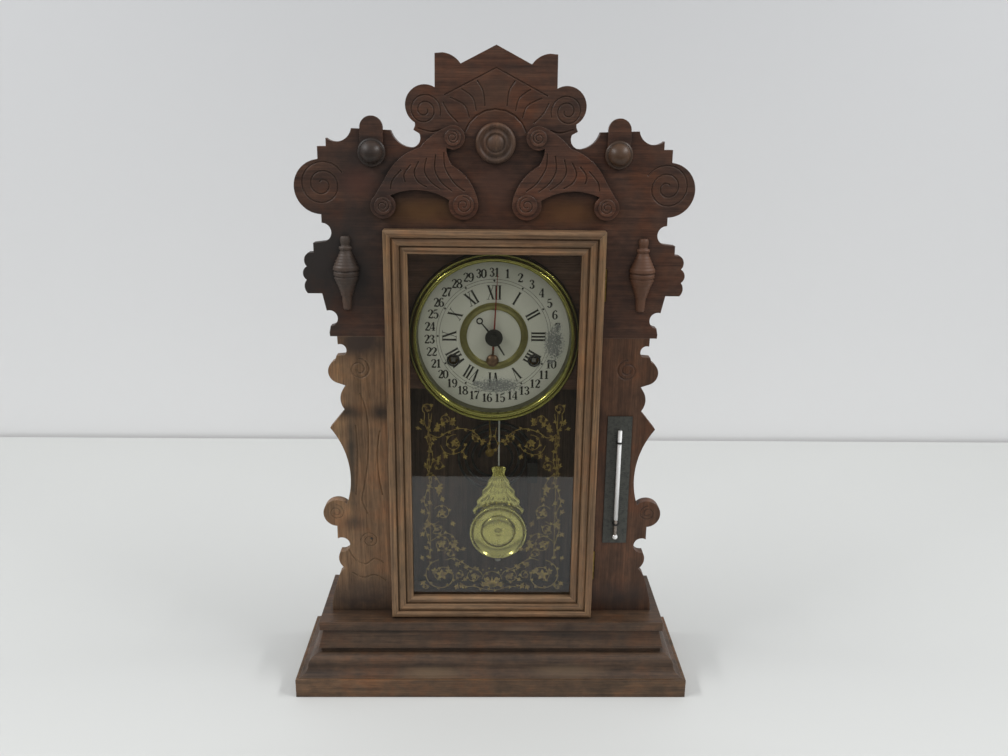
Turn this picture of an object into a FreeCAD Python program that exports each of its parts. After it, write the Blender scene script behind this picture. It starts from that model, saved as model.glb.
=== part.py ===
import FreeCAD, Part
import math
import os

# Walnut parlour shelf clock with a fretted front, a glazed door, a simple calendar dial and a thermometer.
# Millimetres, +Z up, the front faces -Y, origin on the floor under the middle of the base.

V = FreeCAD.Vector

# Base: two boards with an ogee moulding mitred round between them
base_width = 384.0
base_depth = 118.0
base_height = 70.0
bottom_board_thickness = 19.0
top_board_thickness = 9.0
top_board_inset = 21.6
moulding_toe_inset = 2.5
moulding_ogee_inset = 19.5
moulding_ogee_height = 18.5
moulding_groove_depth = 3.0
moulding_groove_height = 4.5
moulding_band_slope = 4.5
moulding_width = 38.0

# Front boards and the box case behind them
board_setback = 46.0
board_thickness = 10.0
case_board_thickness = 10.0
case_lap = 4.0
back_board_thickness = 8.0
back_board_inset = 4.0
crest_rise = 155.8
crest_leg_drop = 99.7

# Door: four mitred reeded members round a pane
door_width = 198.0
door_height = 383.0
door_thickness = 17.0
door_gap_below = 1.2
door_running_gap = 0.3
door_member_width = 21.0
door_board_lap = 15.0
door_top_lap = 18.0
reed_step = 1.6
reed_groove = 1.3
rabbet_width = 6.0
rabbet_depth = 8.0
glass_thickness = 2.0
bead_width = 3.0
bead_depth = 4.0

# Butt hinges on the right and a spring catch on the left
hinge_length = 30.0
hinge_inset = 35.0
hinge_leaf_width = 12.0
hinge_leaf_thickness = 1.0
hinge_barrel_radius = 1.6
hinge_pin_radius = 0.8
hinge_axis_out = 1.9
catch_height = 18.0
catch_depth = 9.0
catch_thickness = 1.2
catch_gap = 0.6

# Applied ornaments on the crest
rosette_radius = 17.5
rosette_depth = 9.0
rosette_rise = 74.8
scroll_depth = 7.0
scroll_button_depth = 2.0
tab_width = 20.0
tab_depth = 4.5
tab_x = 108.0
tab_top_rise = 96.8
tab_bottom_rise = 53.8
boss_radius = 10.0
boss_collar_radius = 12.3
boss_collar_depth = 2.0
boss_rise = 66.0
spindle_x = 134.5
spindle_top_rise = -7.2
spindle_length = 67.0
spindle_radius = 12.3
spindle_neck_radius = 4.6

# Thermometer on the right side board
thermo_gap = 10.5
thermo_width = 23.5
thermo_height = 132.0
thermo_rise = 76.0
thermo_thickness = 1.0
thermo_tube_radius = 2.2
thermo_bulb_radius = 3.0
thermo_tube_margin = 13.0
staple_thickness = 0.8

# Dial, bezel and hands
bezel_side_margin = 2.8
bezel_wall = 10.0
bezel_depth = 14.5
bezel_roll = 3.6
bezel_wall_lean = 0.8
bezel_flange = 0.8
bezel_flange_thickness = 1.5
bezel_top_margin = 2.6
dial_recess = 3.0
dial_thickness = 0.8
dial_lap = 4.5
dial_hole_radius = 4.6
dial_board_thickness = 6.0
dial_board_drop = 52.0
dial_board_hole_margin = 6.0
dial_board_leg_width = 24.0
ring_outer_radius = 32.3
ring_inner_radius = 25.5
ring_height = 1.2
winding_x = 38.4
winding_drop = 23.5
winding_hole_radius = 4.5
hand_thickness = 0.6
calendar_hand_gap = 0.6
hand_gap = 1.2
calendar_hand_margin = 11.7
calendar_hand_angle = 87.1
calendar_weight_radius = 23.0
calendar_weight_height = 3.4
hour_hand_reach = 21.0
hour_hand_angle = 129.8
hour_hub_radius = 8.3
minute_hand_reach = 19.0
minute_hand_angle = 301.4

# Fits
running_fit = 0.05
end_shake = 0.3

# Movement plates
plate_setback = 14.5
plate_thickness = 1.5
plate_gap = 26.0
plate_half_width = 64.0
plate_below_centre = 58.0
plate_above_centre = 54.0
pillar_radius = 3.0
pillar_inset = 6.0
foot_radius = 4.5

# Wheel work: teeth and modules
wheel_thickness = 1.2
great_teeth = 72
great_module = 0.75
great_thickness = 2.0
second_pinion_teeth = 9
second_teeth = 54
centre_pinion_teeth = 36
second_module = 0.55
centre_teeth = 60
third_pinion_teeth = 6
centre_module = 0.6
third_teeth = 60
escape_pinion_teeth = 6
third_module = 0.5
escape_teeth = 36
escape_radius = 12.5
pinion_length = 4.0
arbor_radius = 0.85
pivot_radius = 0.6
centre_arbor_radius = 1.5
winding_arbor_radius = 3.0
winding_square = 4.0
ratchet_radius = 8.0
spring_radius = 20.0
spring_inner_radius = 6.0
spring_width = 11.0
spring_thickness = 0.6
strike_pin_angle = 100.0
strike_fly_angle = 60.0
fly_length = 20.0
fly_width = 9.0
fly_thickness = 0.6

# Motion work behind the dial
cannon_teeth = 10
minute_teeth = 30
minute_pinion_teeth = 8
hour_teeth = 32
motion_module = 0.6
day_pinion_teeth = 14
day_teeth = 28
calendar_teeth = 31
calendar_wheel_radius = 7.4
minute_stud_angle = 180.0
day_stud_angle = 250.0
stud_radius = 1.0
centre_pipe_radius = 2.0
hour_pipe_wall = 1.15
calendar_pipe_wall = 1.0

# Escapement and pendulum
pendulum_x = 6.0
pendulum_setback = 9.8
pivot_rise = 44.5
verge_drop = 18.5
bob_rise = 78.4
rod_radius = 0.9
eye_radius = 2.4
pallet_gap = 1.2
pallet_spread = 37.5
crutch_length = 34.0
crutch_offset = 3.5
bob_radius = 29.0
bob_depth = 6.5
ornament_height = 52.0
ornament_width = 57.0
ornament_top_width = 15.0
ornament_thickness = 1.2
ornament_lap = 17.0
rating_nut_radius = 3.0
rating_nut_height = 5.0

# Gong and hammer
gong_x = 1.5
gong_rise = 145.0
gong_setback = 7.0
gong_wire_radius = 1.3
gong_pitch = 7.0
gong_inner_radius = 17.0
gong_half_turns = 7
gong_tail = 5.0
gong_base_width = 10.0
gong_base_height = 22.0
hammer_x = -4.0
hammer_drop = 34.0
hammer_head_x = -3.0
hammer_head_rise = 153.0
hammer_head_radius = 4.5
hammer_head_length = 11.0
hammer_wire_radius = 0.8

# Levels worked out from the sizes above
front_y = -base_depth / 2
back_y = base_depth / 2
face_y = front_y + board_setback
board_back_y = face_y + board_thickness
case_back_y = back_y - back_board_inset - back_board_thickness
door_back_y = face_y - door_running_gap
door_half = door_width / 2
door_bottom_z = base_height + door_gap_below
door_top_z = door_bottom_z + door_height
opening_half = door_half - door_board_lap
opening_top_z = door_top_z - door_top_lap
case_inner_half = opening_half + case_lap
case_outer_half = case_inner_half + case_board_thickness
case_top_z = opening_top_z + case_board_thickness
joint_z = door_top_z - crest_leg_drop
dial_y = board_back_y + dial_recess
dial_back_y = dial_y + dial_thickness
bezel_radius = opening_half - bezel_side_margin
dial_radius = bezel_radius - bezel_wall
centre_z = opening_top_z - bezel_top_margin - bezel_radius
winding_z = centre_z - winding_drop
plate_y = dial_y + plate_setback
inner_y = plate_y + plate_thickness
back_plate_y = inner_y + plate_gap
pivot_z = centre_z + pivot_rise
rod_y = dial_y + pendulum_setback
bob_z = base_height + bob_rise

os.makedirs("parts", exist_ok=True)


def save(name, *solids):
    """Writes one named piece, or a group of like pieces, as its own file."""
    shape = solids[0] if len(solids) == 1 else Part.makeCompound(list(solids))
    shape.exportStep("parts/" + name + ".step")
    volume = sum(solid.Volume for solid in shape.Solids)
    print(name, len(shape.Solids), "solids", round(volume), "mm3")


def block(x0, x1, y0, y1, z0, z1):
    """Box between two corners."""
    return Part.makeBox(x1 - x0, y1 - y0, z1 - z0, V(x0, y0, z0))


def disc(x, z, y0, y1, radius):
    """Round bar along Y from y0 to y1."""
    return Part.makeCylinder(radius, y1 - y0, V(x, y0, z), V(0, 1, 0))


def ring(x, z, y0, y1, outer, inner):
    """Round bar along Y with a bore."""
    return disc(x, z, y0, y1, outer).cut(disc(x, z, y0 - 1, y1 + 1, inner))


def outline(points, y=0.0):
    """Closed wire in the XZ plane: (x, z) is a straight run, (xm, zm, x, z) an arc through its middle point."""
    here = V(points[0][-2], y, points[0][-1])
    start = here
    edges = []
    for point in points[1:] + points[:1]:
        there = V(point[-2], y, point[-1])
        if len(point) == 4:
            edges.append(Part.Arc(here, V(point[0], y, point[1]), there).toShape())
        elif there.distanceToPoint(here) > 1e-6:
            edges.append(Part.LineSegment(here, there).toShape())
        here = there
    if here.distanceToPoint(start) > 1e-6:
        edges.append(Part.LineSegment(here, start).toShape())
    return Part.Wire(edges)


def fret(points, y0, y1):
    """Board of the given front outline from y0 back to y1."""
    return Part.Face(outline(points, y0)).extrude(V(0, y1 - y0, 0))


def mirrored(shape):
    """The same piece on the other side of the clock."""
    return shape.mirror(V(0, 0, 0), V(1, 0, 0))


def turned(profile, x, z):
    """Turned piece about a line along Y through (x, z), from a profile of (radius, y) runs and arcs."""
    wire = outline(profile)
    wire.rotate(V(0, 0, 0), V(1, 0, 0), -90)
    solid = Part.Face(wire).revolve(V(0, 0, 0), V(0, 1, 0), 360)
    solid.translate(V(x, 0, z))
    return solid


def dome(radius, edge_y, top_y):
    """Round cap of a turned profile as an arc from (radius, edge_y) to the middle at top_y."""
    rise = abs(top_y - edge_y)
    ball = (radius ** 2 + rise ** 2) / (2 * rise)
    half = math.asin(radius / ball) / 2
    sign = 1 if edge_y > top_y else -1
    return ball * math.sin(half), top_y + sign * ball * (1 - math.cos(half)), 0, top_y


def at_angle(x, z, radius, degrees):
    """Point on a circle in the dial plane, angle counted from +X towards +Z."""
    angle = math.radians(degrees)
    return x + radius * math.cos(angle), z + radius * math.sin(angle)


def angle_to(start, end):
    """Direction from one centre to another in degrees."""
    return math.degrees(math.atan2(end[1] - start[1], end[0] - start[0]))


def meet(a, radius_a, b, radius_b, side):
    """Centre at radius_a from a and radius_b from b, on the left (1) or right (-1) of the line a to b."""
    distance = math.dist(a, b)
    along = (distance ** 2 + radius_a ** 2 - radius_b ** 2) / (2 * distance)
    across = side * math.sqrt(radius_a ** 2 - along ** 2)
    ux = (b[0] - a[0]) / distance
    uz = (b[1] - a[1]) / distance
    return a[0] + along * ux - across * uz, a[1] + along * uz + across * ux


def toothed(centre, teeth, module, y0, y1, tooth_angle, bore=0.0, hollow=False):
    """Clock wheel or pinion with pointed teeth, one of them at tooth_angle; large wheels are crossed out."""
    pitch_radius = teeth * module / 2
    tip = pitch_radius + 0.75 * module
    root = pitch_radius - 1.3 * module
    step = 360.0 / teeth
    corners = []
    for i in range(teeth):
        corners.append(at_angle(centre[0], centre[1], tip, tooth_angle + i * step))
        corners.append(at_angle(centre[0], centre[1], root, tooth_angle + (i + 0.5) * step))
    wheel = fret(corners, y0, y1)
    if hollow:
        rim = root - 2.5
        hub = max(bore, arbor_radius) + 3.0
        window = ring(centre[0], centre[1], y0 - 1, y1 + 1, rim, hub)
        for spoke in (0, 90):
            bar = block(-rim - 1, rim + 1, y0 - 2, y1 + 2, -1.3, 1.3)
            bar.rotate(V(0, 0, 0), V(0, 1, 0), spoke)
            bar.translate(V(centre[0], 0, centre[1]))
            window = window.cut(bar)
        wheel = wheel.cut(window)
    if bore:
        wheel = wheel.cut(disc(centre[0], centre[1], y0 - 1, y1 + 1, bore))
    return wheel


def arbor(centre, front=None):
    """Steel arbor between the plates with a pivot in each; front runs it on through the front plate."""
    x, z = centre
    body = disc(x, z, inner_y + end_shake, back_plate_y - end_shake, arbor_radius)
    back_pivot = disc(x, z, back_plate_y - 1, back_plate_y + plate_thickness, pivot_radius)
    pivot_end = plate_y if front is None else front
    front_pivot = disc(x, z, pivot_end, inner_y + 1, pivot_radius)
    return body.fuse([back_pivot, front_pivot])


def base():
    """Plinth: bottom board, moulding in three mitred lengths, top board."""
    half = base_width / 2
    under_top = base_height - top_board_thickness
    save("base_bottom_board", block(-half, half, front_y, back_y, 0, bottom_board_thickness))
    groove_z = bottom_board_thickness + moulding_ogee_height
    band_z = groove_z + moulding_groove_height
    toe = (moulding_toe_inset, bottom_board_thickness)
    crown = (moulding_ogee_inset, groove_z)
    middle = ((toe[0] + crown[0]) / 2, (toe[1] + crown[1]) / 2)
    bow = 0.13 * math.dist(toe, crown)
    band_inset = crown[0] + 1.0
    profile = [
        toe,
        ((toe[0] + middle[0]) / 2 + bow * 0.5, (toe[1] + middle[1]) / 2 - bow * 0.5, middle[0], middle[1]),
        ((crown[0] + middle[0]) / 2 - bow * 0.5, (crown[1] + middle[1]) / 2 + bow * 0.5, crown[0], crown[1]),
        (crown[0] + moulding_groove_depth, groove_z),
        (crown[0] + moulding_groove_depth, band_z),
        (band_inset, band_z),
        (band_inset + moulding_band_slope, under_top),
        (moulding_width, under_top),
        (moulding_width, bottom_board_thickness),
    ]
    section = Part.Face(outline(profile))
    side = section.extrude(V(0, base_depth, 0))
    side.translate(V(-half, front_y, 0))
    front = section.extrude(V(0, base_width, 0))
    front.rotate(V(0, 0, 0), V(0, 0, 1), 90)
    front.translate(V(half, front_y, 0))
    corner = moulding_width
    side_foot = [V(-half, front_y, 0), V(-half + corner, front_y + corner, 0),
                 V(-half + corner, back_y, 0), V(-half, back_y, 0)]
    front_foot = [V(-half, front_y, 0), V(half, front_y, 0),
                  V(half - corner, front_y + corner, 0), V(-half + corner, front_y + corner, 0)]
    left = side.common(Part.Face(Part.makePolygon(side_foot + side_foot[:1])).extrude(V(0, 0, base_height)))
    front = front.common(Part.Face(Part.makePolygon(front_foot + front_foot[:1])).extrude(V(0, 0, base_height)))
    save("base_moulding", front, left, mirrored(left))
    top_half = half - top_board_inset
    save("base_top_board",
         block(-top_half, top_half, front_y + top_board_inset, back_y, under_top, base_height))


def hinge_places():
    """Bottom height of each hinge."""
    return door_bottom_z + hinge_inset, door_top_z - hinge_inset - hinge_length


def hinge_bed(z0):
    """Recess for the case leaf and the back of the barrel in the front boards."""
    axis_x = door_half + hinge_axis_out
    reach = hinge_barrel_radius + door_running_gap
    leaf = block(door_half - hinge_leaf_width, axis_x, face_y, face_y + hinge_leaf_thickness,
                 z0, z0 + hinge_length)
    groove = block(axis_x - reach, axis_x + reach, face_y - 1, face_y + reach, z0, z0 + hinge_length)
    return leaf.fuse(groove)


def front_boards():
    """Fretted crest board and the two side boards; heights are from the door top and from the base."""
    d = door_top_z
    crest = [
        (0, d + crest_rise),
        (30.5, d + 140.3),
        (35.5, d + 145.3, 46.0, d + 149.1),
        (52.7, d + 148.5),
        (52.9, d + 120.8),
        (78.6, d + 106.0, 70.3, d + 91.3),
        (70.2, d + 88.9),
        (71.7, d + 85.1),
        (66.6, d + 82.3),
        (67.3, d + 73.8, 75.1, d + 70.4),
        (85.5, d + 75.1, 91.7, d + 84.8),
        (125.9, d + 86.0),
        (135.5, d + 75.2, 148.3, d + 77.7),
        (148.3, d + 70.6),
        (156.0, d + 70.6),
        (156.0, d + 59.7),
        (178.0, d + 35.8, 154.9, d + 11.8),
        (154.9, d + 4.3),
        (146.6, d - 4.2, 154.5, d - 12.6),
        (163.3, d - 13.7),
        (163.3, d - 22.2),
        (168.5, d - 22.7),
        (172.2, d - 29.2, 170.0, d - 34.9),
        (173.8, d - 41.5, 170.6, d - 47.2),
        (172.8, d - 53.7, 170.0, d - 59.6),
        (157.2, d - 59.6),
        (153.7, d - 75.6),
        (144.0, d - 83.7, 150.8, d - 90.2),
        (152.0, d - 96.2),
        (151.7, joint_z),
        (opening_half, joint_z),
        (opening_half, opening_top_z),
        (0, opening_top_z),
    ]
    right = fret(crest, face_y, board_back_y)
    board = right.fuse(mirrored(right)).removeSplitter()
    low, high = hinge_places()
    save("crest_board", board.cut(hinge_bed(high)))

    b = base_height
    side = [
        (145.3, joint_z),
        (145.0, b + 276.7),
        (137.1, b + 271.4, 139.3, b + 266.5),
        (146.7, b + 265.8),
        (148.0, b + 261.3),
        (155.0, b + 249.5, 147.5, b + 239.8),
        (138.7, b + 236.8),
        (144.3, b + 221.0, 140.7, b + 213.0),
        (155.4, b + 194.7),
        (138.0, b + 150.0, 142.2, b + 115.8),
        (165.7, b + 106.3, 152.8, b + 92.6),
        (152.8, b + 79.0),
        (141.0, b + 71.0, 150.5, b + 64.6),
        (152.4, b + 58.5, 146.8, b + 46.7),
        (151.8, b + 41.0),
        (157.0, b + 25.0, 161.0, b + 7.0),
        (161.0, b),
        (opening_half, b),
        (opening_half, joint_z),
    ]
    right = fret(side, face_y, board_back_y)
    save("right_side_board", right.cut(hinge_bed(low)))
    save("left_side_board", mirrored(right))


def case():
    """Box behind the front boards."""
    left = block(-case_outer_half, -case_inner_half, board_back_y, case_back_y, base_height, case_top_z)
    save("case_sides", left, mirrored(left))
    save("case_top", block(-case_inner_half, case_inner_half, board_back_y, case_back_y,
                           opening_top_z, case_top_z))
    save("back_board", block(-case_outer_half, case_outer_half, case_back_y,
                             case_back_y + back_board_thickness, base_height, case_top_z))


def ornaments():
    """Pieces glued to the face of the crest."""
    d = door_top_z
    r = rosette_radius
    y = face_y
    deep = face_y - rosette_depth
    rosette = [
        (0, y), (r, y), (r, y - 2.5),
        (r * 0.97, y - 5.0, r * 0.84, y - 5.8),
        (r * 0.72, y - 5.0),
        (r * 0.60, y - 7.6, r * 0.46, y - 5.6),
        (r * 0.40, y - 4.6),
        dome(r * 0.40, y - 4.6, deep),
    ]
    save("crest_rosette", turned(rosette, 0, d + rosette_rise))

    scroll = [
        (42.7, d + 70.8),
        (27.0, d + 77.8, 40.0, d + 89.1),
        (53.5, d + 82.0, 65.7, d + 70.8),
        (84.0, d + 60.8, 97.4, d + 42.8),
        (106.5, d + 28.3),
        (99.0, d + 9.3, 92.7, d + 29.3),
        (68.0, d + 34.3, 40.3, d + 25.8),
        (28.0, d + 8.8, 15.2, d + 23.8),
        (24.0, d + 43.8, 38.0, d + 55.8),
        (41.6, d + 62.8, 42.7, d + 70.8),
    ]
    body = fret(scroll, face_y - scroll_depth, face_y)
    buttons = []
    for x, rise, radius in ((37.2, 79.3, 7.0), (28.0, 21.8, 9.0), (99.0, 20.3, 7.5)):
        front = face_y - scroll_depth
        buttons.append(disc(x, d + rise, front - scroll_button_depth, front + 1, radius))
    right = body.fuse(buttons)
    save("right_scroll", right)
    save("left_scroll", mirrored(right))

    half = tab_width / 2
    top = d + tab_top_rise
    foot = d + tab_bottom_rise
    tab_face = face_y - tab_depth
    tab = fret([
        (tab_x - half, foot + half),
        (tab_x - half, top - half),
        (tab_x, top, tab_x + half, top - half),
        (tab_x + half, foot + half),
        (tab_x, foot, tab_x - half, foot + half),
    ], tab_face, face_y)
    save("crest_tabs", mirrored(tab), tab)

    boss_z = d + boss_rise
    collar_y = tab_face - boss_collar_depth
    boss = turned([
        (0, tab_face), (boss_collar_radius, tab_face),
        (boss_collar_radius - boss_collar_depth * 0.3, collar_y + boss_collar_depth * 0.3, boss_radius, collar_y),
        dome(boss_radius, collar_y, collar_y - boss_radius * 0.9),
    ], tab_x, boss_z)
    save("ball_bosses", mirrored(boss), boss)

    top = d + spindle_top_rise
    length = spindle_length
    wide = spindle_radius
    neck = spindle_neck_radius
    profile = [
        (0, top), (neck * 0.8, top),
        (neck * 1.1, top - length * 0.055, neck * 0.85, top - length * 0.11),
        (neck * 0.85, top - length * 0.13), (neck * 1.3, top - length * 0.14),
        (neck * 1.3, top - length * 0.175), (neck * 1.15, top - length * 0.19),
        (wide * 0.68, top - length * 0.30, wide * 0.97, top - length * 0.41),
        (wide, top - length * 0.42), (wide, top - length * 0.45), (wide * 0.93, top - length * 0.465),
        (wide * 0.97, top - length * 0.49), (wide * 0.97, top - length * 0.52),
        (wide * 0.90, top - length * 0.535), (wide * 0.93, top - length * 0.565),
        (wide * 0.66, top - length * 0.68, neck * 1.25, top - length * 0.80),
        (neck * 1.05, top - length * 0.815), (neck * 0.9, top - length * 0.98),
        (neck * 0.7, top - length), (0, top - length),
    ]
    turning = Part.Face(outline(profile)).revolve(V(0, 0, 0), V(0, 0, 1), 360)
    turning.translate(V(spindle_x, face_y, 0))
    split = turning.common(block(spindle_x - wide * 2, spindle_x + wide * 2, face_y - wide * 2, face_y,
                                 top - length - 1, top + 1))
    save("split_spindles", mirrored(split), split)


def thermometer():
    """Tin plate, glass tube with its bulb, and the staples that hold it."""
    x0 = door_half + thermo_gap
    x1 = x0 + thermo_width
    z0 = base_height + thermo_rise
    z1 = z0 + thermo_height
    front = face_y - thermo_thickness
    save("thermometer_plate", block(x0, x1, front, face_y, z0, z1))
    x = (x0 + x1) / 2
    y = front - thermo_bulb_radius
    low = z0 + thermo_tube_margin * 0.6
    high = z1 - thermo_tube_margin
    stem = Part.makeCylinder(thermo_tube_radius, high - low, V(x, y, low), V(0, 0, 1))
    bulb = Part.makeSphere(thermo_bulb_radius, V(x, y, low))
    tip = Part.makeSphere(thermo_tube_radius, V(x, y, high))
    save("thermometer_tube", stem.fuse([bulb, tip]))
    staples = []
    outer = thermo_tube_radius + staple_thickness + running_fit
    for z in (low + thermo_tube_margin, high - thermo_tube_margin):
        bow = Part.makeCylinder(outer, staple_thickness * 2, V(x, y, z), V(0, 0, 1))
        legs = block(x - outer, x + outer, y, front, z, z + staple_thickness * 2)
        bore = Part.makeCylinder(outer - staple_thickness, staple_thickness * 4,
                                 V(x, y, z - staple_thickness), V(0, 0, 1))
        between = block(x - outer + staple_thickness, x + outer - staple_thickness, y, front + 1,
                        z - 1, z + staple_thickness * 4)
        staples.append(bow.fuse(legs).cut(bore).cut(between))
    save("thermometer_staples", *staples)


def door_member(length):
    """Mitred reeded member lying along X, outer edge at z 0, back at y 0, front towards -Y."""
    w = door_member_width
    t = door_thickness
    reed = (w - 2 * reed_groove) / 3
    floor = reed_step + reed_groove
    profile = [(0, 0), (-t + reed_step / 2, 0)]
    u = 0.0
    for i in range(3):
        crown = -t + i * reed_step
        side = crown + reed_step / 2
        if i:
            profile.append((side, u))
        profile.append((crown, u + reed / 2, side, u + reed))
        u += reed
        if i < 2:
            profile.append((side + floor, u))
            u += reed_groove
            profile.append((side + floor, u))
    profile += [(-rabbet_depth, w), (-rabbet_depth, w - rabbet_width), (0, w - rabbet_width)]
    section = Part.Face(outline(profile))
    section.rotate(V(0, 0, 0), V(0, 0, 1), 90)
    bar = section.extrude(V(length, 0, 0))
    bar.translate(V(-length / 2, 0, 0))
    mitre = fret([(-length / 2, 0), (length / 2, 0), (length / 2 - w, w), (-length / 2 + w, w)],
                 -t - 1, 1)
    return bar.common(mitre)


def placed_member(length, turn, x, z):
    """Door member turned to its side of the frame, middle of its outer edge at (x, z)."""
    member = door_member(length)
    member.rotate(V(0, 0, 0), V(0, 1, 0), turn)
    member.translate(V(x, door_back_y, z))
    return member


def door():
    """Frame, pane, glazing beads, hinges and catch."""
    middle_z = (door_bottom_z + door_top_z) / 2
    save("door_bottom_rail", placed_member(door_width, 0, 0, door_bottom_z))
    save("door_top_rail", placed_member(door_width, 180, 0, door_top_z))
    axis_x = door_half + hinge_axis_out
    axis_y = (face_y + door_back_y) / 2
    leaf_front = door_back_y - hinge_leaf_thickness
    right = placed_member(door_height, 270, door_half, middle_z)
    left = placed_member(door_height, 90, -door_half, middle_z)
    inner = door_half - hinge_leaf_width
    third = hinge_length / 3
    door_leaves = []
    case_leaves = []
    for z0 in hinge_places():
        right = right.cut(block(inner, door_half + 1, leaf_front, door_back_y + 1, z0, z0 + hinge_length))
        plate = block(inner, door_half, leaf_front, door_back_y, z0, z0 + hinge_length)
        low = z0 + third + end_shake
        high = z0 + 2 * third - end_shake
        tongue = block(inner, axis_x, leaf_front, door_back_y, low, high)
        knuckle = Part.makeCylinder(hinge_barrel_radius, high - low, V(axis_x, axis_y, low))
        bore = Part.makeCylinder(hinge_pin_radius + running_fit, hinge_length, V(axis_x, axis_y, z0))
        door_leaves.append(plate.fuse([tongue, knuckle]).cut(bore))
        leaf = block(inner, axis_x, face_y, face_y + hinge_leaf_thickness, z0, z0 + hinge_length)
        around = Part.makeCylinder(hinge_barrel_radius + door_running_gap, high - low + 2 * end_shake,
                                   V(axis_x, axis_y, low - end_shake))
        pieces = [Part.makeCylinder(hinge_pin_radius, hinge_length, V(axis_x, axis_y, z0))]
        for start in (z0, z0 + 2 * third):
            pieces.append(Part.makeCylinder(hinge_barrel_radius, third, V(axis_x, axis_y, start)))
        case_leaves.append(leaf.cut(around).fuse(pieces))
    save("door_right_stile", right)
    save("door_hinge_leaves", *door_leaves)
    save("case_hinge_leaves", *case_leaves)

    rebate = door_member_width - rabbet_width
    half = door_half - rebate
    low = door_bottom_z + rebate
    high = door_top_z - rebate
    pane_front = door_back_y - rabbet_depth
    pane_back = pane_front + glass_thickness
    save("door_glass", block(-half, half, pane_front, pane_back, low, high))
    bead_back = pane_back + bead_depth
    upright = block(-half, -half + bead_width, pane_back, bead_back, low, high)
    cross = block(-half + bead_width, half - bead_width, pane_back, bead_back, low, low + bead_width)
    upper = cross.copy()
    upper.translate(V(0, 0, high - low - bead_width))
    save("glazing_beads", upright, mirrored(upright), cross, upper)

    catch_x = -opening_half + catch_gap
    foot = fret([
        (catch_x, middle_z - catch_height / 2),
        (catch_x + catch_thickness, middle_z - catch_height / 2),
        (catch_x + catch_thickness, middle_z + catch_height / 2),
        (catch_x, middle_z + catch_height / 2),
    ], door_back_y - hinge_leaf_thickness, face_y + catch_depth)
    pad_x = -door_half + rebate * 0.3
    pad = block(pad_x, catch_x + catch_thickness, door_back_y - hinge_leaf_thickness, door_back_y,
                middle_z - catch_height / 2, middle_z + catch_height / 2)
    save("door_catch", foot.fuse(pad))
    save("door_left_stile", left.cut(pad))


def dial():
    """Wooden dial board, enamelled dial, spun bezel and the brass ring round the centre."""
    hole = dial_radius - dial_board_hole_margin
    board = block(-case_inner_half, case_inner_half, dial_back_y, dial_back_y + dial_board_thickness,
                  centre_z - dial_board_drop, opening_top_z)
    gap = case_inner_half - dial_board_leg_width
    board = board.cut(disc(0, centre_z, dial_back_y - 1, dial_back_y + dial_board_thickness + 1, hole))
    board = board.cut(block(-gap, gap, dial_back_y - 1, dial_back_y + dial_board_thickness + 1,
                            centre_z - dial_board_drop - 1, centre_z))
    save("dial_board", board)
    pan = ring(0, centre_z, dial_y, dial_back_y, dial_radius + dial_lap, dial_hole_radius)
    for x in (-winding_x, winding_x):
        pan = pan.cut(disc(x, winding_z, dial_y - 1, dial_back_y + 1, winding_hole_radius))
    save("dial_pan", pan)
    inner = dial_radius
    crest_y = dial_y - bezel_depth
    lip = inner + bezel_wall_lean
    brim = bezel_radius - bezel_flange
    profile = [
        (inner, dial_y),
        (lip, crest_y + bezel_roll),
        ((lip + brim) / 2, crest_y, brim, crest_y + bezel_roll),
        (brim, dial_y - bezel_flange_thickness),
        (bezel_radius, dial_y - bezel_flange_thickness),
        (bezel_radius, dial_y),
    ]
    save("dial_bezel", turned(profile, 0, centre_z))
    middle = (ring_outer_radius + ring_inner_radius) / 2
    crown = [
        (ring_inner_radius, dial_y),
        (middle, dial_y - ring_height, ring_outer_radius, dial_y),
    ]
    save("dial_centre_ring", turned(crown, 0, centre_z))


def pointer(angle, shape):
    """Hand drawn along +X from the origin, turned to its angle at the dial centre."""
    shape.rotate(V(0, 0, 0), V(0, 1, 0), -angle)
    shape.translate(V(0, 0, centre_z))
    return shape


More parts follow.
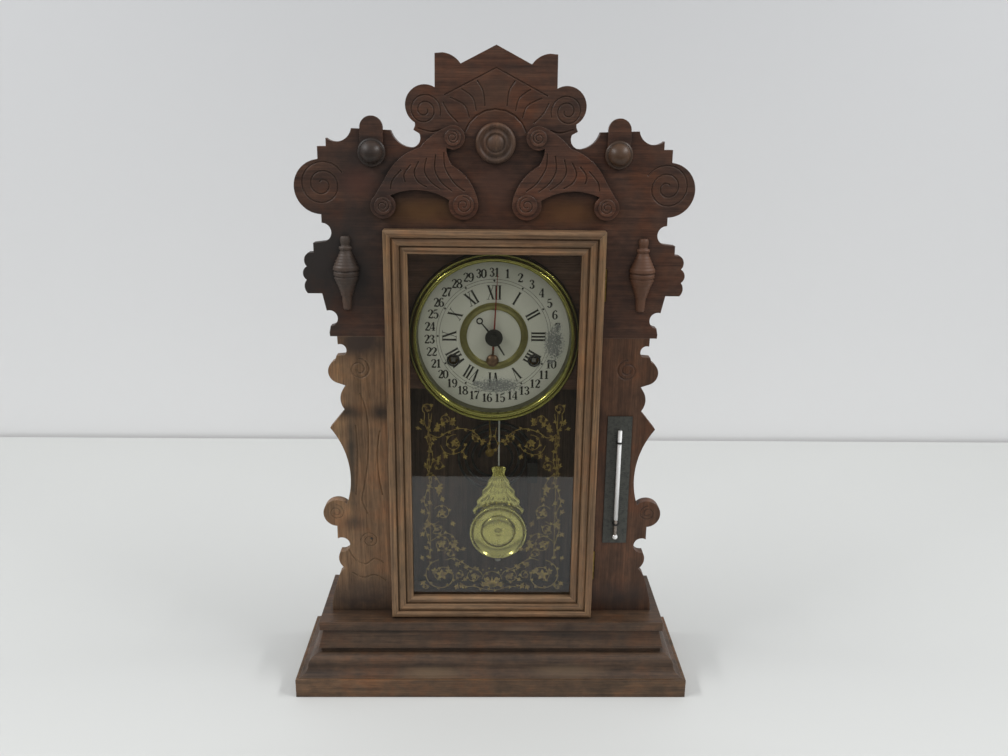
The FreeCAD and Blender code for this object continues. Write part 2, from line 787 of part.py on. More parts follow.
def hands_and_motion_work():
    """Hands, their pipes and the wheels behind the dial that turn the hour and calendar hands."""
    arbor_pipe = centre_pipe_radius
    hour_bore = arbor_pipe + running_fit
    hour_pipe = hour_bore + hour_pipe_wall
    calendar_bore = hour_pipe + running_fit
    calendar_pipe = calendar_bore + calendar_pipe_wall
    calendar_back = dial_y - ring_height - calendar_hand_gap
    calendar_front = calendar_back - hand_thickness
    weight_front = calendar_front - calendar_weight_height
    hour_back = weight_front - calendar_hand_gap
    hour_front = hour_back - hand_thickness
    minute_back = hour_front - hand_gap
    minute_front = minute_back - hand_thickness
    centre = (0, centre_z)

    reach = dial_radius - calendar_hand_margin
    needle = fret([(0, -0.9), (reach, -0.25), (reach, 0.25), (0, 0.9)],
                  calendar_front, calendar_back)
    tail = block(-calendar_weight_radius, 0, calendar_front, calendar_back, -1.1, 1.1)
    weight = Part.makeSphere(7.0, V(-calendar_weight_radius, calendar_front + 3.6, 0))
    weight = weight.common(block(-calendar_weight_radius - 9, -calendar_weight_radius + 9, weight_front,
                                 calendar_front, -9, 9))
    hub = disc(0, 0, calendar_front, calendar_back, calendar_pipe + 1.6)
    hand = needle.fuse([tail, hub, weight]).cut(disc(0, 0, calendar_front - 1, calendar_back + 1, calendar_pipe))
    save("calendar_hand", pointer(calendar_hand_angle, hand))

    stem = fret([(0, -1.1), (hour_hand_reach - 2, -0.5), (hour_hand_reach - 2, 0.5), (0, 1.1)],
                hour_front, hour_back)
    loop = ring(hour_hand_reach, 0, hour_front, hour_back, 3.2, 1.9)
    hub = disc(0, 0, hour_front, hour_back, hour_hub_radius)
    hand = stem.fuse([loop, hub]).cut(disc(0, 0, hour_front - 1, hour_back + 1, hour_pipe))
    save("hour_hand", pointer(hour_hand_angle, hand))

    stem = fret([(0, -1.2), (minute_hand_reach, -0.6), (minute_hand_reach, 0.6), (0, 1.2)],
                minute_front, minute_back)
    hub = disc(0, 0, minute_front, minute_back, arbor_pipe + 3.0)
    hand = stem.fuse(hub).cut(disc(0, 0, minute_front - 1, minute_back + 1, arbor_pipe))
    save("minute_hand", pointer(minute_hand_angle, hand))

    cal_y = dial_back_y + 1.4
    day_y = cal_y + 1.7
    hour_y = day_y + 1.6
    cannon_y = hour_y + 1.9
    stud_distance = motion_module * (cannon_teeth + minute_teeth) / 2
    day_distance = motion_module * (day_pinion_teeth + day_teeth) / 2
    minute_stud = at_angle(0, centre_z, stud_distance, minute_stud_angle)
    day_stud = at_angle(0, centre_z, day_distance, day_stud_angle)
    thin = wheel_thickness - 0.4

    teeth = []
    for i in range(calendar_teeth):
        start = i * 360.0 / calendar_teeth
        teeth.append(at_angle(0, centre_z, calendar_wheel_radius, start))
        teeth.append(at_angle(0, centre_z, calendar_wheel_radius - 1.2, start + 30.0 / calendar_teeth))
    star = fret(teeth, cal_y, cal_y + thin)
    pipe = disc(0, centre_z, calendar_front, cal_y + thin, calendar_pipe)
    bore = disc(0, centre_z, calendar_front - 1, cal_y + thin + 1, calendar_bore)
    save("calendar_wheel", star.fuse(pipe).cut(bore))

    day_angle = angle_to(centre, day_stud)
    day_pinion = toothed(centre, day_pinion_teeth, motion_module, day_y, day_y + thin, day_angle)
    hour_angle = angle_to(centre, minute_stud)
    hour_wheel = toothed(centre, hour_teeth, motion_module, hour_y, hour_y + thin, hour_angle)
    pipe = disc(0, centre_z, hour_front, hour_y + thin, hour_pipe)
    bore = disc(0, centre_z, hour_front - 1, hour_y + thin + 1, hour_bore)
    save("hour_wheel", hour_wheel.fuse([day_pinion, pipe]).cut(bore))

    back = angle_to(day_stud, centre) + 180.0 / day_teeth
    wheel = toothed(day_stud, day_teeth, motion_module, day_y, day_y + thin, back)
    pin_x, pin_z = at_angle(day_stud[0], day_stud[1], 6.0, day_stud_angle + 45)
    pin = disc(pin_x, pin_z, cal_y, day_y + 0.2, 0.5)
    hub = disc(day_stud[0], day_stud[1], day_y, hour_y - 0.2, stud_radius + 1.0)
    bore = disc(day_stud[0], day_stud[1], cal_y, plate_y, stud_radius + running_fit)
    save("calendar_drive_wheel", wheel.fuse([pin, hub]).cut(bore))

    back = angle_to(minute_stud, centre)
    big = toothed(minute_stud, minute_teeth, motion_module, cannon_y, cannon_y + thin,
                  back + 180.0 / minute_teeth)
    small = toothed(minute_stud, minute_pinion_teeth, motion_module, hour_y - 0.3, cannon_y + 0.2,
                    back + 180.0 / minute_pinion_teeth)
    bore = disc(minute_stud[0], minute_stud[1], hour_y - 2, plate_y, stud_radius + running_fit)
    save("minute_wheel", big.fuse(small).cut(bore))

    cannon = toothed(centre, cannon_teeth, motion_module, cannon_y, cannon_y + thin + 0.3, hour_angle)
    front = disc(0, centre_z, minute_front - 0.2, cannon_y, arbor_pipe)
    nut = disc(0, centre_z, minute_front - 2.0, minute_front, arbor_pipe + 1.4)
    rear = disc(0, centre_z, cannon_y, back_plate_y - end_shake, centre_arbor_radius)
    pivot = disc(0, centre_z, back_plate_y - 1, back_plate_y + plate_thickness, pivot_radius)
    save("centre_arbor", front.fuse([cannon, nut, rear, pivot]))
    return minute_stud, hour_y - 0.6, day_stud, day_y - 0.6


def movement(minute_stud, minute_stud_y, day_stud, day_stud_y):
    """Brass plates and pillars, the going train, the strike train and both springs."""
    centre = (0, centre_z)
    great = (winding_x, winding_z)
    strike = (-winding_x, winding_z)
    second_reach = great_module * (great_teeth + second_pinion_teeth) / 2
    centre_reach = second_module * (second_teeth + centre_pinion_teeth) / 2
    second = meet(great, second_reach, centre, centre_reach, -1)
    escape = (pendulum_x, pivot_z - verge_drop)
    third_reach = centre_module * (centre_teeth + third_pinion_teeth) / 2
    escape_reach = third_module * (third_teeth + escape_pinion_teeth) / 2
    third = meet(centre, third_reach, escape, escape_reach, 1)
    pin_wheel = at_angle(strike[0], strike[1], second_reach, strike_pin_angle)
    fly_reach = second_module * (second_teeth + third_pinion_teeth) / 2
    fly = at_angle(pin_wheel[0], pin_wheel[1], fly_reach, strike_fly_angle)
    hammer = (hammer_x, centre_z - hammer_drop)

    centre_y = inner_y + 4.0
    great_y = inner_y + spring_width + 3.0
    second_y = great_y + great_thickness + 3.0
    third_y = second_y + wheel_thickness + 2.3
    lower_y = great_y - 1.0

    corners = []
    for x in (-1, 1):
        for z in (centre_z - plate_below_centre + pillar_inset, centre_z + plate_above_centre - pillar_inset):
            corners.append((x * (plate_half_width - pillar_inset), z))
    low = centre_z - plate_below_centre
    high = centre_z + plate_above_centre
    blank = block(-plate_half_width, plate_half_width, 0, plate_thickness, low, high)
    window = disc(0, low, -1, plate_thickness + 1, plate_below_centre * 0.42)
    blank = blank.cut(window)
    pivots = [second, third, pin_wheel, fly, hammer]
    front = blank.copy()
    front.translate(V(0, plate_y, 0))
    back = blank.copy()
    back.translate(V(0, back_plate_y, 0))
    for x, z in pivots + [escape, centre]:
        back = back.cut(disc(x, z, back_plate_y - 1, back_plate_y + 3, pivot_radius + running_fit))
    for x, z in pivots:
        front = front.cut(disc(x, z, plate_y - 1, plate_y + 3, pivot_radius + running_fit))
    front = front.cut(disc(0, centre_z, plate_y - 1, plate_y + 3, centre_arbor_radius + running_fit))
    front = front.cut(disc(escape[0], escape[1], plate_y - 1, plate_y + 3, pivot_radius + running_fit))
    for x, z in (great, strike):
        front = front.cut(disc(x, z, plate_y - 1, plate_y + 3, winding_arbor_radius + running_fit))
        back = back.cut(disc(x, z, back_plate_y - 1, back_plate_y + 3, winding_arbor_radius - 1 + running_fit))
    studs = [
        disc(minute_stud[0], minute_stud[1], minute_stud_y, plate_y + 1, stud_radius),
        disc(day_stud[0], day_stud[1], day_stud_y, plate_y + 1, stud_radius),
        disc(pendulum_x, pivot_z, rod_y - 1.8, plate_y + 1, pivot_radius + 0.1),
    ]
    save("front_plate", front.fuse(studs))
    pillars = []
    for x, z in corners:
        shank = disc(x, z, inner_y, back_plate_y, pillar_radius)
        through = disc(x, z, back_plate_y - 1, case_back_y, pillar_radius - 1)
        foot = disc(x, z, back_plate_y + plate_thickness, case_back_y, foot_radius)
        pillars.append(shank.fuse([through, foot]))
        back = back.cut(disc(x, z, back_plate_y - 1, back_plate_y + 3, pillar_radius - 1 + running_fit))
    save("back_plate", back)
    save("plate_pillars", *pillars)

    second_angle = angle_to(great, second)
    strike_angle = angle_to(strike, pin_wheel)
    for name, spot, angle in (("time", great, second_angle), ("strike", strike, strike_angle)):
        x, z = spot
        wheel = toothed(spot, great_teeth, great_module, great_y, great_y + great_thickness, angle,
                        bore=winding_arbor_radius + running_fit, hollow=True)
        save(name + "_great_wheel", wheel)
        stem = disc(x, z, plate_y - 6.0, back_plate_y - end_shake, winding_arbor_radius)
        key_end = block(x - winding_square / 2, x + winding_square / 2, dial_back_y + 1.2, plate_y,
                        z - winding_square / 2, z + winding_square / 2)
        tail = disc(x, z, back_plate_y - 1, back_plate_y + plate_thickness, winding_arbor_radius - 1)
        ratchet_y = great_y + great_thickness + end_shake
        ratchet = disc(x, z, ratchet_y, ratchet_y + 1.2, ratchet_radius)
        save(name + "_winding_arbor", stem.fuse([key_end, tail, ratchet]))

    springs = []
    spring_y = inner_y + 1.5
    for sign in (-1, 1):
        x = sign * winding_x
        post_x, post_z = corners[2] if sign > 0 else corners[0]
        coil = ring(x, winding_z, spring_y, spring_y + spring_width, spring_radius, spring_inner_radius)
        eye_outer = pillar_radius + running_fit + spring_thickness
        strap = block(0, math.dist((x, winding_z), (post_x, post_z)) - pillar_radius, spring_y,
                      spring_y + spring_width, -spring_thickness / 2, spring_thickness / 2)
        strap.rotate(V(0, 0, 0), V(0, 1, 0), -angle_to((x, winding_z), (post_x, post_z)))
        strap.translate(V(x, 0, winding_z))
        strap = strap.cut(disc(x, winding_z, spring_y - 1, spring_y + spring_width + 1, spring_radius - 1))
        eye = disc(post_x, post_z, spring_y, spring_y + spring_width, eye_outer)
        spring = coil.fuse([strap, eye])
        springs.append(spring.cut(disc(post_x, post_z, spring_y - 1, spring_y + spring_width + 1,
                                       pillar_radius + running_fit)))
    save("mainsprings", *springs)

    to_centre = angle_to(second, centre)
    pinion = toothed(second, second_pinion_teeth, great_module, lower_y, lower_y + pinion_length,
                     angle_to(second, great) + 180.0 / second_pinion_teeth)
    wheel = toothed(second, second_teeth, second_module, second_y, second_y + wheel_thickness, to_centre,
                    hollow=True)
    save("second_wheel", arbor(second).fuse([pinion, wheel]))

    to_third = angle_to(centre, third)
    bore = centre_arbor_radius + running_fit
    wheel = toothed(centre, centre_teeth, centre_module, centre_y, centre_y + wheel_thickness, to_third,
                    bore=bore, hollow=True)
    driven = toothed(centre, centre_pinion_teeth, second_module, second_y, second_y + wheel_thickness,
                     angle_to(centre, second) + 180.0 / centre_pinion_teeth, bore=bore)
    pipe = ring(0, centre_z, inner_y + end_shake, second_y + wheel_thickness, bore + 2.0, bore)
    save("centre_wheel", wheel.fuse([driven, pipe]))

    pinion = toothed(third, third_pinion_teeth, centre_module, centre_y - 1.4, centre_y + 2.6,
                     angle_to(third, centre) + 180.0 / third_pinion_teeth)
    wheel = toothed(third, third_teeth, third_module, third_y, third_y + wheel_thickness,
                    angle_to(third, escape), hollow=True)
    save("third_wheel", arbor(third).fuse([pinion, wheel]))

    pinion = toothed(escape, escape_pinion_teeth, third_module, third_y - 1.4, third_y + 2.4,
                     angle_to(escape, third) + 180.0 / escape_pinion_teeth)
    wheel_y = plate_y - 2.5
    teeth = []
    for i in range(escape_teeth):
        lean = i * 360.0 / escape_teeth
        teeth.append(at_angle(escape[0], escape[1], escape_radius, lean))
        teeth.append(at_angle(escape[0], escape[1], escape_radius - 2.2, lean + 120.0 / escape_teeth))
    wheel = fret(teeth, wheel_y, wheel_y + 0.9)
    window = ring(escape[0], escape[1], wheel_y - 1, wheel_y + 2, escape_radius - 4.2, 3.2)
    cross = block(-escape_radius, escape_radius, wheel_y - 2, wheel_y + 3, -1.0, 1.0)
    for turn in (0, 90):
        bar = cross.copy()
        bar.rotate(V(0, 0, 0), V(0, 1, 0), turn)
        bar.translate(V(escape[0], 0, escape[1]))
        window = window.cut(bar)
    save("escape_wheel", arbor(escape, front=wheel_y - 0.4).fuse([pinion, wheel.cut(window)]))

    pinion = toothed(pin_wheel, second_pinion_teeth, great_module, lower_y, lower_y + pinion_length,
                     angle_to(pin_wheel, strike) + 180.0 / second_pinion_teeth)
    wheel = toothed(pin_wheel, second_teeth, second_module, second_y, second_y + wheel_thickness,
                    angle_to(pin_wheel, fly), hollow=True)
    pins = []
    for i in range(8):
        x, z = at_angle(pin_wheel[0], pin_wheel[1], second_teeth * second_module / 2 - 2.0, 45.0 * i + 20)
        pins.append(disc(x, z, second_y + 0.4, second_y + wheel_thickness + 2.2, 0.6))
    save("strike_pin_wheel", arbor(pin_wheel).fuse([pinion, wheel] + pins))

    pinion = toothed(fly, third_pinion_teeth, second_module, second_y - 1.4, second_y + 2.6,
                     angle_to(fly, pin_wheel) + 180.0 / third_pinion_teeth)
    vane = block(fly[0] - fly_length / 2, fly[0] + fly_length / 2, inner_y + 2, inner_y + 2 + fly_width,
                 fly[1] - fly_thickness / 2, fly[1] + fly_thickness / 2)
    save("strike_fly", arbor(fly).fuse([pinion, vane]))
    strike_hammer(hammer, second_y)
    verge(escape, wheel_y)


def verge(escape, wheel_y):
    """Bent strip pallets on their stud with the crutch wire and its fork round the rod."""
    reach = escape_radius + pallet_gap
    bore = pivot_radius + 0.1 + running_fit
    collar = ring(pendulum_x, pivot_z, wheel_y - 0.3, wheel_y + 1.5, bore + 1.6, bore)
    left = at_angle(escape[0], escape[1], reach, 90 + pallet_spread)
    right = at_angle(escape[0], escape[1], reach, 90 - pallet_spread)
    strip = fret([
        (left[0], left[1]), (left[0] - 1.0, left[1] + 1.0),
        (pendulum_x, pivot_z + 1.6), (right[0] + 1.0, right[1] + 1.0), (right[0], right[1]),
        (pendulum_x, pivot_z - 2.4),
    ], wheel_y, wheel_y + 0.9)
    strip = strip.cut(disc(pendulum_x, pivot_z, wheel_y - 1, wheel_y + 3, bore))
    wire_x = pendulum_x + crutch_offset
    wire_y = wheel_y - 0.9
    fork_z = pivot_z - crutch_length
    wire = Part.makeCylinder(0.45, crutch_length, V(wire_x, wire_y, fork_z), V(0, 0, 1))
    tie = block(pendulum_x + 1.5, wire_x + 0.5, wire_y - 0.4, wheel_y + 0.4, pivot_z - 0.6, pivot_z + 0.6)
    fork_gap = rod_radius + end_shake
    fork = block(pendulum_x - fork_gap - 0.7, wire_x, wire_y - 0.4, wire_y + 0.4, fork_z - 0.5, fork_z + 0.5)
    prongs = []
    for x in (pendulum_x - fork_gap - 0.7, pendulum_x + fork_gap):
        prongs.append(block(x, x + 0.7, rod_y - rod_radius - 0.4, wire_y, fork_z - 0.5, fork_z + 0.5))
    stud_hole = disc(pendulum_x, pivot_z, wire_y - 2, wheel_y + 3, bore)
    save("verge", collar.fuse([strip, wire, tie, fork] + prongs).cut(stud_hole))


def pendulum():
    """Rod with its suspension eye and rating nut, pressed brass ornament and turned bob."""
    nut_z = bob_z - bob_radius - rating_nut_height
    bore = pivot_radius + 0.1 + running_fit
    rod = Part.makeCylinder(rod_radius, pivot_z - bore - nut_z, V(pendulum_x, rod_y, nut_z), V(0, 0, 1))
    eye = ring(pendulum_x, pivot_z, rod_y - 0.5, rod_y + 0.5, eye_radius, bore)
    spring_strip = block(pendulum_x - 1.8, pendulum_x + 1.8, rod_y - 0.25, rod_y + 0.25,
                         pivot_z - 14, pivot_z - eye_radius + 0.4)
    nut = Part.makeCylinder(rating_nut_radius, rating_nut_height, V(pendulum_x, rod_y, nut_z), V(0, 0, 1))
    rod = rod.fuse([eye, spring_strip, nut]).cut(disc(pendulum_x, pivot_z, rod_y - 3, rod_y + 3, bore))
    save("pendulum_rod", rod)

    back = rod_y - rod_radius - 0.1
    front = back - ornament_thickness
    low = bob_z + ornament_lap
    high = low + ornament_height
    half = ornament_width / 2
    top = ornament_top_width / 2
    x = pendulum_x
    leaf = fret([
        (x - half, low),
        (x - half * 0.80, low + ornament_height * 0.16, x - half * 0.84, low + ornament_height * 0.22),
        (x - half * 0.62, low + ornament_height * 0.40, x - half * 0.60, low + ornament_height * 0.46),
        (x - half * 0.36, low + ornament_height * 0.66, x - half * 0.34, low + ornament_height * 0.72),
        (x - top * 0.7, high - 6.0),
        (x - top, high - 4.5),
        (x - top, high - 1.5, x - top * 0.5, high - 0.5),
        (x, high + 0.5, x + top * 0.5, high - 0.5),
        (x + top, high - 1.5, x + top, high - 4.5),
        (x + top * 0.7, high - 6.0),
        (x + half * 0.34, low + ornament_height * 0.72),
        (x + half * 0.36, low + ornament_height * 0.66, x + half * 0.60, low + ornament_height * 0.46),
        (x + half * 0.62, low + ornament_height * 0.40, x + half * 0.84, low + ornament_height * 0.22),
        (x + half * 0.80, low + ornament_height * 0.16, x + half, low),
    ], front, back)
    save("pendulum_ornament", leaf)

    r = bob_radius
    d = bob_depth
    behind = front - 0.1
    bob = [
        (0, behind), (r - d * 0.3, behind), (r, behind - d * 0.23),
        (r * 0.82, behind - d * 0.83, r * 0.63, behind - d * 0.40),
        (r * 0.59, behind - d * 0.37), (r * 0.56, behind - d * 0.68),
        (r * 0.38, behind - d * 0.77, r * 0.20, behind - d * 0.68),
        dome(r * 0.20, behind - d * 0.68, behind - d),
    ]
    save("pendulum_bob", turned(bob, pendulum_x, bob_z))


def strike_hammer(pivot, tail_y):
    """Hammer arbor between the plates with its tail, long wire and brass head inside the gong."""
    x, z = pivot
    wire_y = case_back_y - gong_setback - 5.5
    head_z = base_height + hammer_head_rise
    length = math.dist((x, z), (hammer_head_x, head_z))
    wire = Part.makeCylinder(hammer_wire_radius, length, V(x, wire_y, z),
                             V(hammer_head_x - x, 0, head_z - z))
    head = disc(hammer_head_x, head_z, wire_y - 2.0, wire_y - 2.0 + hammer_head_length, hammer_head_radius)
    hub = disc(x, z, wire_y - 1.5, wire_y + 1.5, arbor_radius + 1.2)
    tail = block(x - 14, x, tail_y, tail_y + 1.0, z - 0.8, z + 0.8)
    save("strike_hammer", arbor(pivot).fuse([wire, head, hub, tail]))


def gong():
    """Flat spiral of round wire in half turns; its outer end runs straight down into an iron block."""
    y = case_back_y - gong_setback
    z = base_height + gong_rise
    last = gong_half_turns - 1
    arcs = []
    middle_x = gong_x
    upper_x = middle_x + gong_pitch / 4
    lower_x = middle_x - gong_pitch / 4
    for i in range(gong_half_turns):
        radius = gong_inner_radius + i * gong_pitch / 2
        above = (last - i) % 2 == 0
        x = upper_x if above else lower_x
        sign = 1 if above else -1
        arcs.append(Part.Arc(V(x - sign * radius, y, z), V(x, y, z + sign * radius),
                             V(x + sign * radius, y, z)).toShape())
    end_x = upper_x + gong_inner_radius + last * gong_pitch / 2
    arcs.append(Part.LineSegment(V(end_x, y, z), V(end_x, y, z - gong_tail)).toShape())
    path = Part.Wire(arcs)
    start = arcs[0].valueAt(arcs[0].FirstParameter)
    ring_wire = Part.Wire([Part.Circle(start, V(0, 0, 1), gong_wire_radius).toShape()])
    coil = path.makePipeShell([ring_wire], True, False)
    save("gong_coil", coil)
    gap = gong_self_gap(path)
    print("gong: least gap between turns", round(gap, 2), "mm, wire length", round(path.Length), "mm")
    half = gong_base_width / 2
    top = z - gong_tail
    save("gong_base", block(end_x - half, end_x + half, y - half * 0.7, case_back_y, top - gong_base_height, top))


def gong_self_gap(path):
    """Least clear distance between stretches of the wire that lie more than half a turn apart."""
    points = path.discretize(Distance=1.0)
    apart = int(math.pi * gong_inner_radius)
    least = 1e9
    for i in range(0, len(points), 2):
        for other in points[i + apart::2]:
            least = min(least, points[i].distanceToPoint(other))
    return least - 2 * gong_wire_radius


base()
front_boards()
case()
ornaments()
thermometer()
door()
dial()
studs = hands_and_motion_work()
movement(*studs)
pendulum()
gong()
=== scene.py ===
# %% [markdown]
# # A fretted walnut calendar clock
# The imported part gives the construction, and this lesson dresses it. Lengths are in millimetres and turn to
# metres only where a mesh is made.

# %% Load the frame
import math

import bpy
from mathutils import Matrix, Vector


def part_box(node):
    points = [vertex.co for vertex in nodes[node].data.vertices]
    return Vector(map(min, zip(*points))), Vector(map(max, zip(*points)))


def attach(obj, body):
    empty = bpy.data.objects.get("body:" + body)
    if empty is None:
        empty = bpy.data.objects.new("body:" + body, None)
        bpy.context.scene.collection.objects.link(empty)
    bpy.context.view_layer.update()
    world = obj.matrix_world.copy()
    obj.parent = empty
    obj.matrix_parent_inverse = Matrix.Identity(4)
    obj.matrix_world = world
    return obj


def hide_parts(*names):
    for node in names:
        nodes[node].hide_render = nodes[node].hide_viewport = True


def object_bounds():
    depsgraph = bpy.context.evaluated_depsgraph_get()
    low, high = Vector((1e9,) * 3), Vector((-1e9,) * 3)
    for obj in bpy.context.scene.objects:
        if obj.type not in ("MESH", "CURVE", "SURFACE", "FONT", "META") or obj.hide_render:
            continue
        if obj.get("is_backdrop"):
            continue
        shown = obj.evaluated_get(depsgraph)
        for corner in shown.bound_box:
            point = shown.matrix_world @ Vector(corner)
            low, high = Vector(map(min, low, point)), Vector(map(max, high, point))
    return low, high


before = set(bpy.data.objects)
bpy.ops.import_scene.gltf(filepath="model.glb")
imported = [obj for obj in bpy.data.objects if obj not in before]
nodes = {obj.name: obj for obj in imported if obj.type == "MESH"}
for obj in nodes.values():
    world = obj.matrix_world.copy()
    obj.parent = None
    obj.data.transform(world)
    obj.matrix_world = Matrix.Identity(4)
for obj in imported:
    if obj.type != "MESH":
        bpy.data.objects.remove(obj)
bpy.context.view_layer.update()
scene = bpy.context.scene

# %% [markdown]
# ## Small tools
# A real clock is sawn, turned, carved and printed. Four shapes cover that: faces, a turning, a flat stroke
# and a V-shaped cut. A stroke is a run of points with a width at each.

# %% Shape tools
MM = 1000  # millimetres in a metre
HALF = 500  # turns a sum or a difference in metres to its half in millimetres
FACE = -13.0  # Y of the front boards' faces
DIAL = (0.0, 352.4)  # X and Z of the hands' centre
SIDES = (("left", -1), ("right", 1))
skins = {}  # the lesson's own materials, by name


def piece(name, verts, faces, skin, body, slot, soft=False):
    """A mesh from millimetre points that rides on a body; skin names its material."""
    mesh = bpy.data.meshes.new(name)
    mesh.from_pydata([(x / MM, y / MM, z / MM) for x, y, z in verts], [], faces)
    mesh.materials.append(skins[skin])
    mesh.shade_smooth() if soft else mesh.shade_flat()
    made = bpy.data.objects.new(name, mesh)
    scene.collection.objects.link(made)
    if body:
        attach(made, body)
    return made


def smooth(points, steps=6):
    """A curve through points; further values, such as a width, are carried along."""
    out = []
    for i in range(len(points) - 1):
        a, b = points[max(i - 1, 0)], points[i]
        c, d = points[i + 1], points[min(i + 2, len(points) - 1)]
        for k in range(steps):
            t = k / steps
            out.append(tuple(0.5 * (2 * q + (r - p) * t + (2 * p - 5 * q + 4 * r - s) * t * t
                                    + (3 * q - p - 3 * r + s) * t ** 3) for p, q, r, s in zip(a, b, c, d)))
    out.append(tuple(points[-1]))
    return out


def spiral(x, z, r0, r1, start, turns, width, steps=20):
    """A spiral from radius r0 to r1 that starts at an angle in degrees."""
    count = max(int(abs(turns) * steps), 6)
    out = []
    for i in range(count + 1):
        t = i / count
        a = math.radians(start) + math.tau * turns * t
        r = r0 + (r1 - r0) * t
        out.append((x + r * math.cos(a), z + r * math.sin(a), width))
    return out


def sides(points):
    """Unit normals in the XZ plane along a run of points."""
    out = []
    for i in range(len(points)):
        a, b = points[max(i - 1, 0)], points[min(i + 1, len(points) - 1)]
        dx, dz = b[0] - a[0], b[1] - a[1]
        size = math.hypot(dx, dz) or 1.0
        out.append((-dz / size, dx / size))
    return out


class Flat:
    """Flat painted shapes gathered into one mesh at a given depth."""

    def __init__(self, y):
        self.y, self.verts, self.faces = y, [], []

    def stroke(self, points):
        """A ribbon along points that each hold x, z and a width."""
        first = len(self.verts)
        for (x, z, w), (nx, nz) in zip(points, sides(points)):
            self.verts.append((x + nx * w / 2, self.y, z + nz * w / 2))
            self.verts.append((x - nx * w / 2, self.y, z - nz * w / 2))
        for i in range(len(points) - 1):
            k = first + 2 * i
            self.faces.append((k, k + 1, k + 3, k + 2))

    def patch(self, points):
        first = len(self.verts)
        self.verts += [(x, self.y, z) for x, z in points]
        self.faces.append(tuple(range(first, first + len(points))))

    def dot(self, x, z, r, count=14):
        self.patch([(x + r * math.cos(math.tau * i / count), z + r * math.sin(math.tau * i / count))
                    for i in range(count)])

    def leaf(self, x, z, angle, length, width):
        """A stroke that swells and ends in a point."""
        a = math.radians(angle)
        run = [(x + length * t * math.cos(a), z + length * t * math.sin(a),
                width * math.sin(math.pi * t ** 0.8) + 0.05) for t in (0, 0.15, 0.3, 0.5, 0.7, 0.87, 1)]
        self.stroke(run)

    def ivy(self, x, z, angle, size):
        """A leaf of five lobes."""
        for turn, reach, wide in ((0, 1.0, 0.42), (52, 0.78, 0.34), (-52, 0.78, 0.34),
                                  (108, 0.5, 0.3), (-108, 0.5, 0.3)):
            self.leaf(x, z, angle + turn, size * reach, size * wide)

    def make(self, name, material, body, slot):
        return piece(name, self.verts, self.faces, material, body, slot)


# %% [markdown]
# A lathe makes the turnings. A carved line is a wedge that a Boolean takes away.

# %% Turning and carving
TURNED = 96  # facets of a turning


def turning(profile, x, z, count=TURNED):
    """Vertices and faces of a turning about Y from (radius, y) points."""
    verts, faces = [], []
    for r, y in profile:
        for i in range(count):
            a = math.tau * i / count
            verts.append((x + r * math.cos(a), y, z + r * math.sin(a)))
    for k in range(len(profile) - 1):
        for i in range(count):
            j = (i + 1) % count
            faces.append((k * count + i, k * count + j, (k + 1) * count + j, (k + 1) * count + i))
    return verts, faces


PROUD = 0.4  # a wedge stands this far out of the wood
FULL_WIDTH = 1.2  # a stroke of this width is cut to the full depth
SAME_POINT = 1e-6


def cuts(name, strokes, face, depth, target):
    """Carves strokes as V-shaped lines into a board."""
    verts, faces = [], []
    for points in strokes:
        first = len(verts)
        for (x, z, w), (nx, nz) in zip(points, sides(points)):
            half = w / 2 * (1 + PROUD / depth)
            verts += [(x + nx * half, face - PROUD, z + nz * half),
                      (x - nx * half, face - PROUD, z - nz * half),
                      (x, face + depth * w / FULL_WIDTH, z)]
        for i in range(len(points) - 1):
            k = first + 3 * i
            for a, b in ((0, 1), (1, 2), (2, 0)):
                faces.append((k + a, k + b, k + 3 + b, k + 3 + a))
        end = first + 3 * (len(points) - 1)
        faces += [(first + 2, first + 1, first), (end, end + 1, end + 2)]
    knife = piece(name, verts, faces, "plain", None, None)
    knife.hide_render = knife.hide_viewport = True
    board = nodes[target]
    if "weld" not in board.modifiers:
        board.modifiers.new("weld", "WELD").merge_threshold = SAME_POINT
    cut = board.modifiers.new("carving", "BOOLEAN")
    cut.operation, cut.solver, cut.object = "DIFFERENCE", "EXACT", knife
    return len(strokes)


def both(points):
    """A stroke and its mirror image."""
    return [points, [(-x, z, w) for x, z, w in points]]


# %% [markdown]
# ## Materials
# Old varnish over walnut, worn brass, chipped white paint on tin, blued steel and thin glass. Colours are
# given as on a screen and turned to linear light. Patterns are sized in millimetres.

# %% Shader tools
def tone(text):
    """Screen hex colour to linear light."""
    parts = [int(text[i:i + 2], 16) / 255 for i in (0, 2, 4)]
    return tuple(c / 12.92 if c <= 0.04045 else ((c + 0.055) / 1.055) ** 2.4 for c in parts) + (1.0,)


def fit(tree, node, values):
    """Links a node's sockets to other nodes, or sets them and its properties to plain values."""
    for key, value in values.items():
        if hasattr(value, "outputs") or hasattr(value, "is_linked"):
            tree.links.new(value.outputs[0] if hasattr(value, "outputs") else value, node.inputs[key])
        elif key == "stops":
            while len(node.color_ramp.elements) < len(value):
                node.color_ramp.elements.new(0.5)
            for stop, (at, colour) in zip(node.color_ramp.elements, value):
                stop.position, stop.color = at, colour
        elif isinstance(key, str) and hasattr(node, key):
            setattr(node, key, value)
        else:
            node.inputs[key].default_value = value
    return node


def add(tree, kind, values=None):
    """Adds one shader node."""
    return fit(tree, tree.nodes.new("ShaderNode" + kind), values or {})


def material(name):
    """A new material's tree, its surface node and its coordinates in millimetres."""
    made = skins[name] = bpy.data.materials.new(name)
    made.use_nodes = True
    tree = made.node_tree
    coords = add(tree, "TexCoord")
    mm = add(tree, "Mapping", {"Scale": (MM, MM, MM), "Vector": coords.outputs["Object"]})
    return tree, tree.nodes["Principled BSDF"], mm


